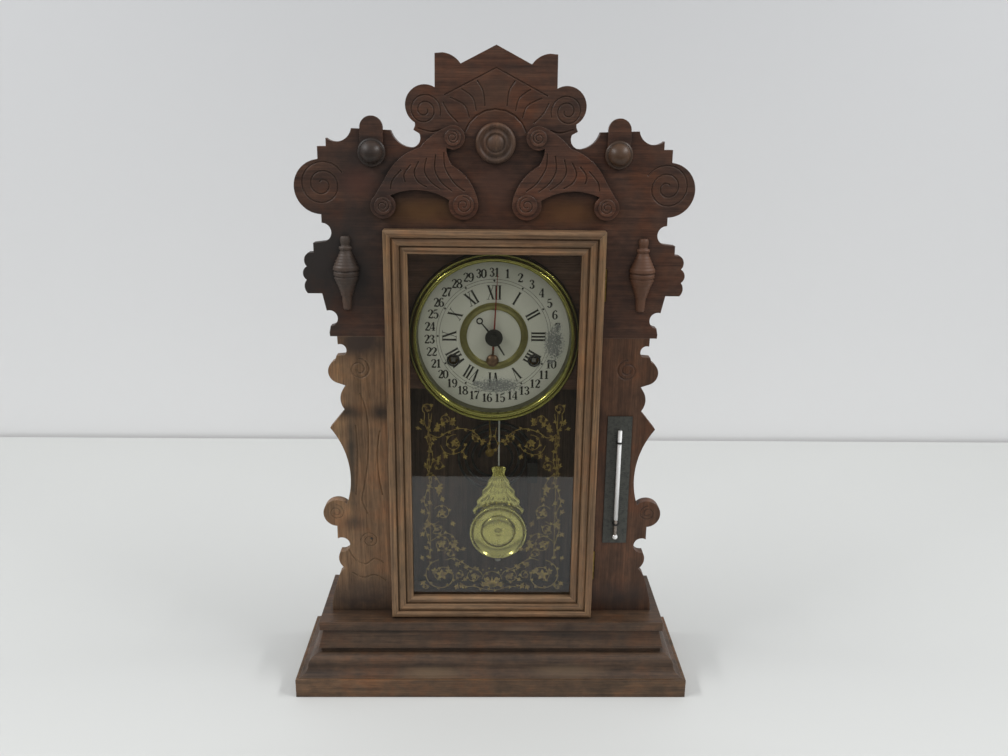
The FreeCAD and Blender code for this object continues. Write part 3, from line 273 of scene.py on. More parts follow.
def noise(tree, mm, size, detail=5, rough=0.55, distortion=0.0):
    """Noise whose features are about size millimetres along X, Y and Z."""
    sized = add(tree, "Mapping", {"Scale": tuple(1 / s for s in size), "Vector": mm})
    return add(tree, "TexNoise", {"Scale": 1.0, "Detail": detail, "Roughness": rough,
                                  "Distortion": distortion, "Vector": sized})


def ramp(tree, source, *stops):
    """Colours over a value; each stop is a place and a screen colour."""
    return add(tree, "ValToRGB", {"stops": [(at, tone(colour)) for at, colour in stops], "Fac": source})


def span(tree, source, low, high, to_low=0.0, to_high=1.0, curve="LINEAR"):
    """Maps the values from low to high onto another range."""
    return add(tree, "MapRange", {"From Min": low, "From Max": high, "To Min": to_low, "To Max": to_high,
                                  "interpolation_type": curve, "Value": source})


def spot(tree, mm, x, z, r0, r1, stretch=(1, 1)):
    """A soft round mask in the XZ plane: 1 inside r0, 0 outside r1."""
    flat = add(tree, "Mapping", {"Scale": (1 / stretch[0], 0, 1 / stretch[1]),
                                 "Location": (-x / stretch[0], 0, -z / stretch[1]), "Vector": mm})
    far = add(tree, "VectorMath", {"operation": "LENGTH", 0: flat})
    return span(tree, far.outputs["Value"], r0, r1, 1.0, 0.0, "SMOOTHSTEP")


def blend(tree, kind, factor, a, b):
    """Mixes two colours by a factor; each may be a node or a plain value."""
    return add(tree, "Mix", {"data_type": "RGBA", "blend_type": kind, 0: factor, 6: a, 7: b}).outputs[2]


def times(tree, a, b, clamp=False):
    """The product of two values."""
    return add(tree, "Math", {"operation": "MULTIPLY", "use_clamp": clamp, 0: a, 1: b})


def output(tree, shader):
    """Makes a shader the material's surface."""
    fit(tree, tree.nodes["Material Output"], {"Surface": shader})


skins["plain"] = bpy.data.materials.new("plain")  # for the hidden knives

# %% [markdown]
# Walnut has long dark bands, fine pores and, after a century, uneven varnish: dark from hands and smoke, pale
# where it was rubbed. The bands are noise stretched along the grain. Rubbed edges are found from the shape
# itself, so they fall where a real clock has them. Hollows are darkened by ambient occlusion as painted shade.

# %% Wood
LIFT = 0.3  # brings back the light that grime and patina take, as a share of the wear


def wood(name, dark, mid, light, grain, rough, wear=0.5, edge="8a7058", stains=(), bands=7, streak=0.2, hollow_shade_level=0.5):
    """Old wood; a stain holds x, z, inner and outer radius, stretch, strength and colour."""
    tree, surface, mm = material(name)

    def along(length, width):
        return tuple(length if axis == grain else width for axis in range(3))

    growth = noise(tree, mm, along(190, bands), rough=0.6, distortion=0.6)
    pores = noise(tree, mm, along(14, 0.55), detail=2, rough=0.5)
    fibre = noise(tree, mm, along(70, 1.2), rough=0.65, distortion=0.3)
    grime = noise(tree, mm, along(42, 42), rough=0.62)
    patina = noise(tree, mm, along(16, 8), rough=0.7)
    pore_mask = span(tree, pores, 0.33, 0.45, 0.7, 1.0)
    colour = ramp(tree, growth, (0.28, dark), (0.5, mid), (0.74, light)).outputs[0]
    for share, layer in (
        (1.0, pore_mask),
        (1.0, span(tree, fibre, 0.34, 0.66, 1 - streak, 1 + streak)),
        (wear, ramp(tree, grime, (0.34, "f6ccaa"), (0.5, "dccfc4"), (0.68, "a8a09c"))),
        (wear, ramp(tree, patina, (0.36, "c6c3c0"), (0.5, "e6dfd8"), (0.62, "fff1e2"))),
    ):
        colour = blend(tree, "MULTIPLY", share, colour, layer.outputs[0])
    colour = add(tree, "VectorMath", {"operation": "SCALE", "Scale": 1 + LIFT * wear, 0: colour}).outputs[0]
    for x, z, r0, r1, stretch, strength, shade in stains:
        mask = spot(tree, mm, x, z, r0, r1, stretch)
        broken = times(tree, times(tree, mask, strength * 1.6), grime, True)
        colour = blend(tree, "MIX", broken, colour, tone(shade))
    rounded = add(tree, "Bevel", {"samples": 4, "Radius": 0.0009})
    flat = add(tree, "NewGeometry")
    facing = add(tree, "VectorMath", {"operation": "DOT_PRODUCT", 0: rounded, 1: flat.outputs["Normal"]})
    rubbed = span(tree, facing.outputs["Value"], 0.995, 0.9, 0.0, 0.75)
    colour = blend(tree, "MIX", times(tree, rubbed, pores), colour, tone(edge))
    # painted shade: ambient occlusion darkens the wood's colour in grooves and hollows
    hollow = add(tree, "AmbientOcclusion", {"samples": 4, "Distance": 0.005})
    painted_hollow_shade = span(tree, hollow.outputs["AO"], 0.45, 0.95, hollow_shade_level, 1.0)
    shine = span(tree, grime, 0.3, 0.7, rough - 0.09, rough + 0.12)
    bump = add(tree, "Bump", {"Strength": 0.3, "Distance": 0.0002, "Height": pore_mask, "Normal": rounded})
    fit(tree, surface, {"Specular IOR Level": 0.35, "Roughness": shine, "Normal": bump,
                        "Base Color": blend(tree, "MULTIPLY", 1.0, colour, painted_hollow_shade)})


# %% [markdown]
# Each board was cut from its own plank and aged in its own place, so each has its own colours and stains:
# the left side was rubbed pale, the crest is smoked at its left, the bosses kept their dark polish.

# %% Woods of the case
X, Z = 0, 2  # the axes that a grain can follow
SPINDLE = (134.5, 413)  # X and Z of the right spindle's middle
crest_stains = [
    (-152, 414, 22, 92, (0.9, 1.0), 1.1, "2f2926"), (-110, 500, 5, 55, (1, 1), 0.7, "2d2826"),
    (-120, 494, 1, 24, (1.1, 0.9), 0.7, "5e3a2e"), (62, 470, 5, 40, (1.5, 0.45), 0.9, "6b4626"),
    (-62, 470, 5, 40, (1.5, 0.45), 0.9, "6b4a28"), (0, 486, 5, 40, (0.7, 1.2), 0.6, "54362a"),
    (0, 566, 4, 34, (0.9, 0.8), 0.5, "5d4231"),
]
left_stains = [
    (-138, 281, 0, 19, (1.5, 0.6), 1.0, "2e2620"), (-107, 280, 0, 17, (1, 0.8), 1.05, "2a221d"),
    (-136, 165, 2, 16, (1, 0.7), 1.0, "3a3028"), (-128, 78, 2, 60, (1.6, 0.7), 1.0, "3b302a"),
    (-125, 352, 2, 46, (1.6, 0.7), 1.15, "40332b"), (-136, 222, 0, 12, (0.6, 8), 1.2, "43392e"),
]
right_stains = [(125, 84, 6, 40, (1.6, 0.6), 0.9, "332a26")]
spindle_stains = [(-SPINDLE[0], SPINDLE[1], 14, 30, (1, 2), 1.0, "4a413b"),
                  (SPINDLE[0], SPINDLE[1], 14, 30, (1, 2), 1.0, "664634")]
boss_stains = [(108, 520, 5, 20, (1, 1), 1.1, "57402f")]
base_stains = [(-60, 22, 3, 20, (2.2, 0.4), 0.7, "66543f"), (75, 24, 3, 20, (2.6, 0.4), 0.7, "64523f"),
               (30, 62, 2, 12, (3, 0.5), 0.8, "6b5543")]
WOODS = {  # dark, middle and light colour, grain, roughness, wear, rubbed edge, stains; bands, streak and painted hollow shade
    "walnut_crest": ("47352e", "594339", "6a5042", X, 0.46, 0.8, "7b604c", crest_stains),
    "walnut_left_side": ("6f5942", "8c7258", "a18665", Z, 0.5, 0.6, "a08463", left_stains, 7, 0.26),
    "walnut_right_side": ("4b372a", "5f4636", "725643", Z, 0.5, 0.7, "6b5646", right_stains),
    "walnut_carved": ("4c372d", "5c4237", "6e5042", X, 0.42, 0.7, "7b604c", crest_stains[:2]),
    "walnut_turned": ("4d3d33", "5d4a3e", "6b5748", Z, 0.52, 0.6, "7d6753", spindle_stains),
    "walnut_dark_polish": ("302a27", "3a322e", "453a34", X, 0.42, 0.5, "5b4d44", boss_stains),
    "walnut_base": ("42372f", "534539", "655446", X, 0.46, 0.8, "7b6552", base_stains),
    "walnut_foot": ("58483a", "6e5a46", "826a54", X, 0.46, 0.8, "8b735c"),
    "door_walnut_upright": ("604c37", "836b52", "9f8462", Z, 0.46, 0.5, "a58560", (), 3.5, 0.4, 0.85),
    "door_walnut_across": ("604b38", "836b53", "9d8366", X, 0.46, 0.5, "a58560", (), 3.5, 0.4, 0.85),
    "stained_pine": ("433830", "564941", "6a5a50", Z, 0.7),
    # painted light: the dial board's pine is lighter than the case pine, to offset the shade inside the case
    "stained_pine_dial_board": ("6b544b", "80665d", "92766b", X, 0.6),
}
for name, looks in WOODS.items():
    wood(name, *looks)
print("woods:", len(WOODS))

# %% [markdown]
# Brass was lacquered once; the raised parts stay bright while the hollows turn brown. Steel is plain or
# blued. A cloud of noise mixes the bright and the dull colour, and a finer one dents the surface. Glass is
# thin, so light passes straight through it and only its front mirrors.

# %% Metals, glass and paint
def metal(name, bright, dull, rough, size, amount, dents=0.1):
    """Metal with clouds of tarnish about size millimetres across."""
    tree, surface, mm = material(name)
    cloud = noise(tree, mm, (size, size, size), rough=0.65)
    mask = span(tree, cloud, 0.4, 0.72, 0.0, amount)
    fine = noise(tree, mm, (0.8, 0.8, 0.8), detail=3)
    bump = add(tree, "Bump", {"Strength": dents, "Distance": 0.0001, "Height": fine})
    fit(tree, surface, {"Metallic": 1.0, "Roughness": span(tree, mask, 0.0, 1.0, rough, rough + 0.3),
                        "Base Color": blend(tree, "MIX", mask, tone(bright), tone(dull)), "Normal": bump})


def paint(name, colour, worn, rough, size, amount=0.4):
    """Paint, print or plain coating with worn clouds about size millimetres across."""
    tree, surface, mm = material(name)
    cloud = noise(tree, mm, (size, size, size), rough=0.6)
    mask = span(tree, cloud, 0.45, 0.75, 0.0, amount)
    fit(tree, surface, {"Roughness": rough, "Base Color": blend(tree, "MIX", mask, tone(colour), tone(worn))})


def clear(name, tint, reflect):
    """Thin glass that mirrors a Fresnel share."""
    tree, surface, mm = material(name)
    through = add(tree, "BsdfTransparent", {"Color": tone(tint)})
    mirror = add(tree, "BsdfGlossy", {"Roughness": 0.02})
    edge = add(tree, "Fresnel", {"IOR": 1.5})
    behind = add(tree, "NewGeometry").outputs["Backfacing"]
    front = add(tree, "Math", {"operation": "SUBTRACT", 0: 1.0, 1: behind})
    share = times(tree, edge, times(tree, front, reflect), True)
    output(tree, add(tree, "MixShader", {0: share, 1: through, 2: mirror}))


METALS = {  # bright and dull colour, roughness, size and amount of tarnish, dents
    "bezel_brass": ("a6a35c", "837f43", 0.14, 12, 0.35, 0.004),
    # painted shade: darker, duller brass for the bezel's inner wall, which lies in the roll's shadow
    "tarnished_bezel_wall": ("77765f", "5c5b4a", 0.45, 8, 0.5, 0.02),
    "satin_ring_brass": ("969160", "6f6b46", 0.3, 6, 0.5, 0.02),
    "pressed_brass": ("bdb872", "9a9558", 0.2, 8, 0.4, 0.004),
    "movement_brass": ("a98d4a", "6b5730", 0.3, 8, 0.7),
    "hardware_brass": ("8b7440", "4c4028", 0.4, 4, 0.8),
    "arbor_steel": ("a3a29e", "6c6a66", 0.3, 5, 0.5),
    "blued_spring_steel": ("4a4a48", "2c2c2b", 0.35, 7, 0.6),
    "bright_rod_steel": ("dededa", "a8a8a4", 0.4, 5, 0.4),
}
PAINTS = {  # colour and worn colour, roughness, size and amount of wear
    "black_painted_iron": ("1e1d1c", "3a332c", 0.55, 4),
    "black_hand_paint": ("20201e", "3c3a36", 0.4, 3),
    "tarnished_tin": ("474842", "262726", 0.5, 2.5, 1.0),
    "gilt_stencil": ("a08946", "66442f", 0.45, 5, 1.0),
    "white_glass_backing": ("fcfcfa", "f0f0ec", 0.3, 4),
    "worn_scale_print": ("5f5f59", "3f403c", 0.5, 4, 0.9),
    "brown_spirit": ("85776a", "6a5d50", 0.3, 2),
}
GLASSES = {"window_glass": ("f7f7f3", 1.85), "thermometer_glass": ("ffffff", 1.8)}  # tint and mirror gain
for make, group in ((metal, METALS), (paint, PAINTS), (clear, GLASSES)):
    for name, looks in group.items():
        make(name, *looks)
print("metals:", len(METALS), "paints:", len(PAINTS), "glasses:", len(GLASSES))

# %% [markdown]
# The dial is tin painted white and printed. Paint has flaked to grey metal at the right between the dates 6
# and 11 and above the date 16, in ragged islands; a finer noise breaks the soft masks into chips.

# %% Dial paint
HOLES = ((-38.4, 328.9), (38.4, 328.9))  # X and Z of the winding holes
FLAKES = ((57, 346, 4, 27, (0.7, 1.3)), (60, 362, 1, 11, (0.8, 0.8)), (4, 304, 4, 27, (1.8, 0.58)),
          (54, 328, 1, 9, (0.8, 0.8)), (-16, 306, 1, 10, (1, 0.7)), (60, 336, 1, 9, (0.7, 1)))


def larger(tree, a, b):
    """The larger of two masks."""
    return add(tree, "Math", {"operation": "MAXIMUM", 0: a, 1: b})


def flaking(tree, mm):
    """1 where the paint has flaked away, and the noise that shapes the chips."""
    chips = noise(tree, mm, (1.6, 1.6, 1.6), detail=6, rough=0.75)
    zone = None
    for x, z, r0, r1, stretch in FLAKES:
        mask = spot(tree, mm, x, z, r0, r1, stretch)
        zone = mask if zone is None else larger(tree, zone, mask)
    level = add(tree, "Math", {"operation": "MULTIPLY_ADD", 0: zone, 1: 0.3, 2: chips})
    return span(tree, level, 0.715, 0.76), chips


tree, surface, mm = material("white_dial_paint")
age = noise(tree, mm, (40, 40, 40), detail=4)
sound = ramp(tree, age, (0.35, "d7d7d1"), (0.7, "cccdc4"))
flake, chips = flaking(tree, mm)
bare = ramp(tree, chips, (0.3, "6a6d70"), (0.7, "959899"))
chip_edge = add(tree, "Bump", {"Strength": 0.5, "Distance": 0.0001, "invert": True, "Height": flake})
fit(tree, surface, {"Roughness": 0.55, "Normal": chip_edge,
                    "Base Color": blend(tree, "MIX", flake, sound, bare)})
print("flaked places:", len(FLAKES))

# %% [markdown]
# The ink left the tin with the paint, and none lies over the winding holes, so the same masks let light
# through it. Elsewhere it has faded a little.

# %% Ink
HOLE_EDGE = (5.2, 5.4)  # the ink starts between these radii round a winding hole
tree, surface, mm = material("dial_ink")
fit(tree, surface, {"Base Color": tone("242321"), "Roughness": 0.6})
gone, chips = flaking(tree, mm)
for x, z in HOLES:
    gone = larger(tree, gone, spot(tree, mm, x, z, *HOLE_EDGE))
gone = larger(tree, gone, span(tree, chips, 0.35, 0.75, 0.0, 0.45))
output(tree, add(tree, "MixShader", {0: gone, 1: surface, 2: add(tree, "BsdfTransparent")}))
print("ink nodes:", len(tree.nodes))

# %% [markdown]
# The calendar hand is red only on its long arm; the weight that balances it is a plain copper dome.

# %% Calendar hand paint
ARM_TILT = math.radians(2.9)
WEIGHT_REACH = 25  # from the hands' centre to the middle of the copper
tree, surface, mm = material("red_paint_and_copper")
weight = spot(tree, mm, DIAL[0] - WEIGHT_REACH * math.sin(ARM_TILT),
              DIAL[1] - WEIGHT_REACH * math.cos(ARM_TILT), 12.0, 12.4)
fit(tree, surface, {"Roughness": 0.38, "Metallic": weight,
                    "Base Color": blend(tree, "MIX", weight, tone("7d2a22"), tone("7a6250"))})
print("hand paint nodes:", len(tree.nodes))

# %% [markdown]
# ## Dressing the frame
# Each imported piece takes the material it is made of. What isn't named here is a brass piece of the movement.

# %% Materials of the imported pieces
finish = {
    "walnut_crest": ["crest_board", "crest_tabs"],
    "walnut_left_side": ["left_side_board"],
    "walnut_right_side": ["right_side_board"],
    "walnut_carved": ["left_scroll", "right_scroll"],
    "walnut_dark_polish": ["ball_bosses"],
    "walnut_turned": ["crest_rosette", "split_spindles"],
    "walnut_base": ["base_moulding", "base_top_board"],
    "walnut_foot": ["base_bottom_board"],
    "door_walnut_upright": ["door_left_stile", "door_right_stile", "glazing_beads"],
    "door_walnut_across": ["door_top_rail", "door_bottom_rail"],
    "stained_pine": ["case_sides", "case_top", "back_board"],
    "stained_pine_dial_board": ["dial_board"],
    "tarnished_tin": ["thermometer_plate"],
    "window_glass": ["door_glass"],
    "thermometer_glass": ["thermometer_tube"],
    "bezel_brass": ["dial_bezel"],
    "satin_ring_brass": ["dial_centre_ring"],
    "pressed_brass": ["pendulum_ornament", "pendulum_bob"],
    "hardware_brass": ["door_hinge_leaves", "case_hinge_leaves", "door_catch", "strike_hammer"],
    "arbor_steel": ["time_winding_arbor", "strike_winding_arbor", "plate_pillars", "verge"],
    "bright_rod_steel": ["pendulum_rod"],
    "blued_spring_steel": ["mainsprings", "gong_coil", "centre_arbor"],
    "black_painted_iron": ["gong_base", "thermometer_staples"],
    "white_dial_paint": ["dial_pan"],
    "black_hand_paint": ["minute_hand", "hour_hand"],
    "red_paint_and_copper": ["calendar_hand"],
}
named = {n for group in finish.values() for n in group}
finish["movement_brass"] = [n for n in nodes if n not in named]
for skin, group in finish.items():
    for n in group:
        nodes[n].data.materials.clear()
        nodes[n].data.materials.append(skins[skin])
print("dressed:", sum(len(g) for g in finish.values()), "nodes with", len(finish), "materials")

# %% [markdown]
# ## Carved lines
# The maker ran a parting tool round the scrolls: spirals in the lobes, a fan over the rosette and long
# sweeps down the sides. They are cut as V grooves, because a painted line would not catch the light.

# %% Carving of the crest
LINE = 1.5  # usual width of a carved line


def line(*points):
    """A smooth line through points, of the usual width."""
    return smooth([p + (LINE,) for p in points])


crest_lines = both(spiral(62, 556, 14.5, 2.5, 200, -2.1, LINE))
crest_lines += both(spiral(153, 492, 21, 3, 150, -2.3, 1.6))
crest_lines += [[(-45, 568.5, LINE), (0, 591.5, LINE), (45, 568.5, LINE)]]
crest_lines += [spiral(0, 529, 28.5, 28.5, 18, 0.4, 1.8)]
for x, z, foot_x, foot_z in ((16.5, 582, 9.5, 559), (30, 575, 17, 555), (40, 568, 23, 549)):
    middle = (x - (x - foot_x) * 0.75, (z + foot_z) / 2 + 2)
    crest_lines += both(line((x, z - 1), middle, (foot_x, foot_z + 1)))
crest_lines += both(line((46, 563), (41, 554), (33, 546)))
crest_lines += both(line((47, 540), (56, 538), (68, 541)))
print("crest lines:", cuts("crest_knife", crest_lines, FACE, 0.6, "crest_board"))

# %% [markdown]
# The side boards have the same lines, mirrored and a little broader. The right one has none where the
# thermometer hangs.

# %% Carving of the sides
BROADER = 1.25
side_lines = [
    spiral(126, 323, 10.5, 2.5, 90, 1.8, 1.5), spiral(153, 177, 8, 2, 90, 1.7, 1.3),
    line((126, 300), (121, 285), (119, 262), (120, 235), (124, 208), (127, 190), (122, 176)),
    line((108, 262), (111, 240), (110, 215), (107, 196)),
    line((131, 268), (130, 245), (131, 220), (133, 196)),
    spiral(121, 147, 9, 2, 0, 1.7, 1.3),
    line((143, 138), (136, 126), (126, 121), (117, 127), (108, 123)),
    line((140, 112), (129, 106), (117, 109), (106, 103)),
]


def by_thermometer(x, z):
    """True on the part of the right board that stays plain."""
    return 105 < x < 134.5 and 95 < z < 280


for side, sign in SIDES:
    strokes = [[(sign * x, z, w * BROADER) for x, z, w in stroke] for stroke in side_lines]
    strokes = [s for s in strokes if not any(by_thermometer(x, z) for x, z, w in s)]
    print(side, "lines:", cuts(side + "_knife", strokes, FACE, 0.45, side + "_side_board"))

# %% [markdown]
# The scrolls beside the rosette are carved as leaves: veins run down the face, and each curl ends in an eye.

# %% Carving of the scrolls
LEAF_FACE, CURL_FACE = FACE - 7, FACE - 9
CURLS = ((37.2, 533.5, 7), (28, 476, 9), (99, 474.5, 7.5))  # X, Z and radius
leaf_lines = [
    line((45, 521), (44, 508), (36, 495), (27, 488)), line((52, 519), (53, 506), (47, 495), (38, 488)),
    line((60, 516), (62, 505), (57, 496), (48, 489.5)), line((67, 513), (71, 504), (68, 496), (60, 491)),
    line((74, 510), (80, 502), (79, 495)), line((82, 506), (90, 497), (92, 489)),
]
for side, sign in SIDES:
    strokes = [[(sign * x, z, w) for x, z, w in stroke] for stroke in leaf_lines]
    print(side, "veins:", cuts(side + "_vein_knife", strokes, LEAF_FACE, 0.7, side + "_scroll"))
    eyes = [spiral(sign * x, z, r - 1.6, 1.5, 90, sign * 1.6, 1.3) for x, z, r in CURLS]
    print(side, "eyes:", cuts(side + "_eye_knife", eyes, CURL_FACE, 0.6, side + "_scroll"))

# %% [markdown]
# ## Printed dial
# The date numerals came from an engraved plate, so each figure is a few strokes that swell and thin.

# %% Date numerals
FIGURES = {  # strokes of x, z and width, in hundredths of the height
    "0": [[(31, 99, 7), (11, 77, 17), (9, 50, 19), (11, 23, 17), (31, 1, 7), (51, 23, 17), (53, 50, 19),
          (51, 77, 17), (31, 99, 7)]],
    "1": [[(31, 100, 19), (31, 50, 19), (31, 0, 19)], [(10, 80, 6), (22, 87, 8), (31, 97, 10)], [(10, 3, 6),
          (31, 3, 6), (52, 3, 6)]],
    "2": [[(12, 74, 17), (13, 84, 10), (30, 98, 7), (50, 84, 18), (50, 66, 20), (34, 40, 13), (10, 8, 7)],
          [(8, 7, 10), (30, 8, 16), (52, 6, 12), (57, 24, 5)]],
    "3": [[(12, 78, 16), (18, 90, 10), (31, 98, 7), (48, 80, 18), (42, 60, 12), (24, 53, 6)], [(24, 53, 6),
          (44, 46, 12), (52, 26, 20), (42, 6, 12), (28, 2, 7), (11, 20, 17)]],
    "4": [[(42, 100, 17), (42, 50, 18), (42, 2, 18)], [(42, 98, 6), (22, 64, 6), (3, 29, 6)], [(2, 28, 8),
          (30, 28, 8), (60, 28, 8)], [(24, 3, 6), (42, 3, 6), (60, 3, 6)]],
    "5": [[(14, 93, 10), (30, 94, 13), (53, 98, 7)], [(15, 97, 6), (13, 72, 6), (12, 50, 6)], [(12, 50, 6),
          (30, 62, 9), (50, 50, 17), (53, 30, 20), (44, 8, 12), (28, 1, 7), (10, 17, 16)]],
    "6": [[(49, 83, 16), (44, 94, 10), (33, 99, 6), (15, 77, 16), (9, 42, 19), (15, 14, 15), (31, 1, 7),
          (49, 15, 16), (52, 34, 18), (44, 52, 12), (31, 58, 6), (15, 44, 8)]],
    "7": [[(6, 76, 5), (8, 93, 13), (30, 93, 17), (55, 95, 10)], [(55, 95, 7), (38, 60, 11), (27, 30, 18),
          (26, 2, 20)]],
    "8": [[(31, 54, 9), (14, 66, 14), (13, 86, 13), (31, 99, 7), (49, 86, 13), (48, 66, 14), (31, 54, 9)],
          [(31, 54, 9), (9, 36, 16), (10, 14, 16), (31, 1, 7), (53, 14, 17), (53, 36, 17), (31, 54, 9)]],
}
FIGURE_WIDTH, FIGURE_STEP, BOLD = 62, 58, 1.15
DATE_RING, DATE_HEIGHT = 60.9, 8.4
PRINT_Y = -0.06
FIGURES["9"] = [[(FIGURE_WIDTH - x, 100 - y, w) for x, y, w in stroke] for stroke in FIGURES["6"]]


def number(flat, text, x, z, height):
    """Writes an upright number centred on a point."""
    unit = height / 100
    start = -0.5 * (FIGURE_STEP * (len(text) - 1) + FIGURE_WIDTH)
    for place, figure in enumerate(text):
        left = start + FIGURE_STEP * place
        for stroke in FIGURES[figure]:
            flat.stroke([(x + (u + left) * unit, z + (v - 50) * unit, BOLD * w * unit)
                         for u, v, w in smooth(stroke, 5)])


printed = Flat(PRINT_Y)
for day in range(1, 32):
    a = math.tau * day / 31
    number(printed, str(day), DIAL[0] + DATE_RING * math.sin(a), DIAL[1] + DATE_RING * math.cos(a), DATE_HEIGHT)
print("date strokes:", len(printed.faces))

# %% [markdown]
# Roman hours: a V is one fat and one hairline stroke, an X the same crossed. All stand with their feet
# inward. Between hours and dates runs a track of two fine rings with a dot at each hour.

# %% Hours and minute track
HOURS = "XII I II III IIII V VI VII VIII IX X XI".split()
WIDE = {"I": 3.3, "V": 7.0, "X": 7.0}
FOOT, HEAD = 35.5, 48.5  # radii between which the hours stand
FAT, THIN, SERIF = 1.9, 0.55, 0.45
SERIF_REACH, INSET = 1.5, 1.2
DOT_RING, TRACK = 53, (51.6, 54.4)


def radial(flat, angle, points):
    """A stroke given across the numeral and outward from the centre."""
    c, s = math.cos(angle), math.sin(angle)
    flat.stroke([(DIAL[0] + u * c + r * s, DIAL[1] - u * s + r * c, w) for u, r, w in points])


def letter_bars(letter, mid):
    """Strokes of a letter as (foot, head, width), and the ends that carry serifs."""
    half = WIDE[letter] / 2 - INSET
    left, right = mid - half, mid + half
    if letter == "I":
        return [(mid, mid, FAT)], [(mid, FOOT), (mid, HEAD)]
    if letter == "V":
        return [(mid, left, FAT), (mid, right, THIN)], [(left, HEAD), (right, HEAD)]
    return [(right, left, FAT), (left, right, THIN)], [(left, HEAD), (right, HEAD), (left, FOOT), (right, FOOT)]


for hour, text in enumerate(HOURS):
    angle = math.tau * hour / 12
    u = -sum(WIDE[t] for t in text) / 2
    for letter in text:
        bars, ends = letter_bars(letter, u + WIDE[letter] / 2)
        for foot, head, width in bars:
            radial(printed, angle, [(foot, FOOT, width), (head, HEAD, width)])
        for at, r in ends:
            radial(printed, angle, [(at - SERIF_REACH, r, SERIF), (at + SERIF_REACH, r, SERIF)])
        u += WIDE[letter]
    printed.dot(DIAL[0] + DOT_RING * math.sin(angle), DIAL[1] + DOT_RING * math.cos(angle), 1.0, 10)
for r in TRACK:
    printed.stroke(spiral(DIAL[0], DIAL[1], r, r, 0, 1, 0.32, 120))
printed.make("dial_print", "dial_ink", "case", "dial_enamel")
print("printed dial faces:", len(printed.faces))

# %% [markdown]
# ## Gilt stencil on the glass
# Bronze powder was brushed through a paper stencil on the back of the pane: thin vines with curls, leaves
# and five-petalled flowers. Each vine is a flat stroke. The halves are alike, so only the right one is drawn.

# %% Drawing of the vine
GLASS_BACK = -19.26
half_strokes = [
    spiral(62, 287, 5.5, 1.2, -60, 1.4, 0.9),
    smooth([(65, 282, .9), (65, 272, 1), (61, 262, 1), (59, 250, 1), (62, 238, 1), (63, 226, 1), (59, 214, .9),
            (64, 202, 1), (66, 190, 1), (62, 178, 1), (66, 166, 1), (63, 152, 1), (61, 142, .9), (63, 132, .9)]),
    smooth([(58, 282, .8), (60, 270, .9), (63, 256, .9), (58, 242, .9), (59, 230, .8), (64, 218, .8)]),
    smooth([(62, 262, .9), (52, 258, 1), (44, 263, 1), (32, 267, 1), (21, 265, 1), (13, 258, .9), (11, 250, .7)]),
    spiral(37, 252, 9, 2, 100, -1.3, 0.9),
    smooth([(50, 250, .8), (46, 243, .9), (38, 241, .9), (29, 245, .9), (25, 252, .7)]),
    smooth([(60, 222, .8), (54, 216, .9), (50, 206, .9), (53, 197, .8)]),
    spiral(49, 180, 8.5, 2, 30, 1.3, 0.9),
    smooth([(65, 172, .8), (58, 168, .9), (52, 171, .7)]),
    spiral(50, 146, 9.5, 3, 60, 1.2, 0.9),
    smooth([(60, 150, .8), (46, 158, .9), (38, 154, .9), (36, 146, .7)]),
    spiral(50, 112, 17.5, 5, 80, -1.45, 1.1, 28),
    smooth([(46, 129, .9), (38, 131, 1), (29, 126, 1), (20, 120, 1), (13, 121, .8)]),
    spiral(18, 111, 8.5, 2, 170, -1.4, 0.9),
    smooth([(32, 104, .8), (26, 100, .9), (18, 100, .9), (8, 97, .9), (0, 96.5, .9)]),
    smooth([(10, 108, .8), (7, 114, .9), (0, 117, .9)]),
    spiral(66, 99, 3.5, 1, 0, 1.1, 0.8),
    smooth([(3, 268, .7), (2, 258, .9), (5, 250, .9), (2, 244, .7)]),
    [(61, 282, .8), (61, 132, .8)],
    spiral(53, 229, 6, 1.5, 20, 1.3, 0.8), spiral(54, 163, 6, 1.5, -40, -1.3, 0.8),
    spiral(42, 136, 5, 1.2, 0, 1.3, 0.8), spiral(46, 276, 5, 1.2, 200, -1.3, 0.8),
    spiral(33, 113, 5, 1.2, 90, 1.3, 0.8),
]
leaves = [  # X, Z, angle and length
    (57, 264, 150, 9), (52, 266, 80, 8), (46, 268, 60, 8), (40, 272, 120, 8), (36, 270, 40, 8),
    (66, 270, 70, 8), (68, 266, 20, 6), (60, 258, 200, 8), (48, 242, 230, 8), (50, 240, 300, 7),
    (20, 262, 240, 9), (16, 260, 280, 8), (13, 256, 200, 7), (28, 242, 250, 7), (62, 226, 60, 8),
    (62, 216, 120, 8), (58, 206, 30, 7), (50, 198, 250, 8), (66, 196, 300, 7), (58, 188, 40, 7),
    (66, 178, 60, 8), (40, 172, 250, 8), (66, 160, 310, 8), (58, 160, 140, 7), (40, 150, 200, 8),
    (36, 145, 250, 8), (32, 140, 160, 7), (62, 140, 40, 7), (36, 122, 130, 8), (33, 121, 60, 7),
    (32, 104, 240, 9), (34, 103, 290, 8), (30, 106, 150, 7), (68, 128, 70, 7), (66, 106, 320, 8),
    (12, 103, 200, 8), (24, 118, 60, 7), (7, 104, 110, 8),
]
flowers = [  # X, Z and radius
    (52, 205, 3.4), (37, 252, 3.0), (16, 256, 2.6), (49, 180, 3.0), (63, 167, 3.2), (50, 146, 3.4),
    (38, 145, 2.8), (50, 113, 4.6), (43, 117, 2.8), (57, 117, 2.8), (18, 111, 2.6),
]
print("vines:", len(half_strokes), "leaves:", len(leaves), "flowers:", len(flowers))

# %% [markdown]
# Small ivy leaves sit on either side of every vine in turn. A fan of leaves and four berries close the wreath.

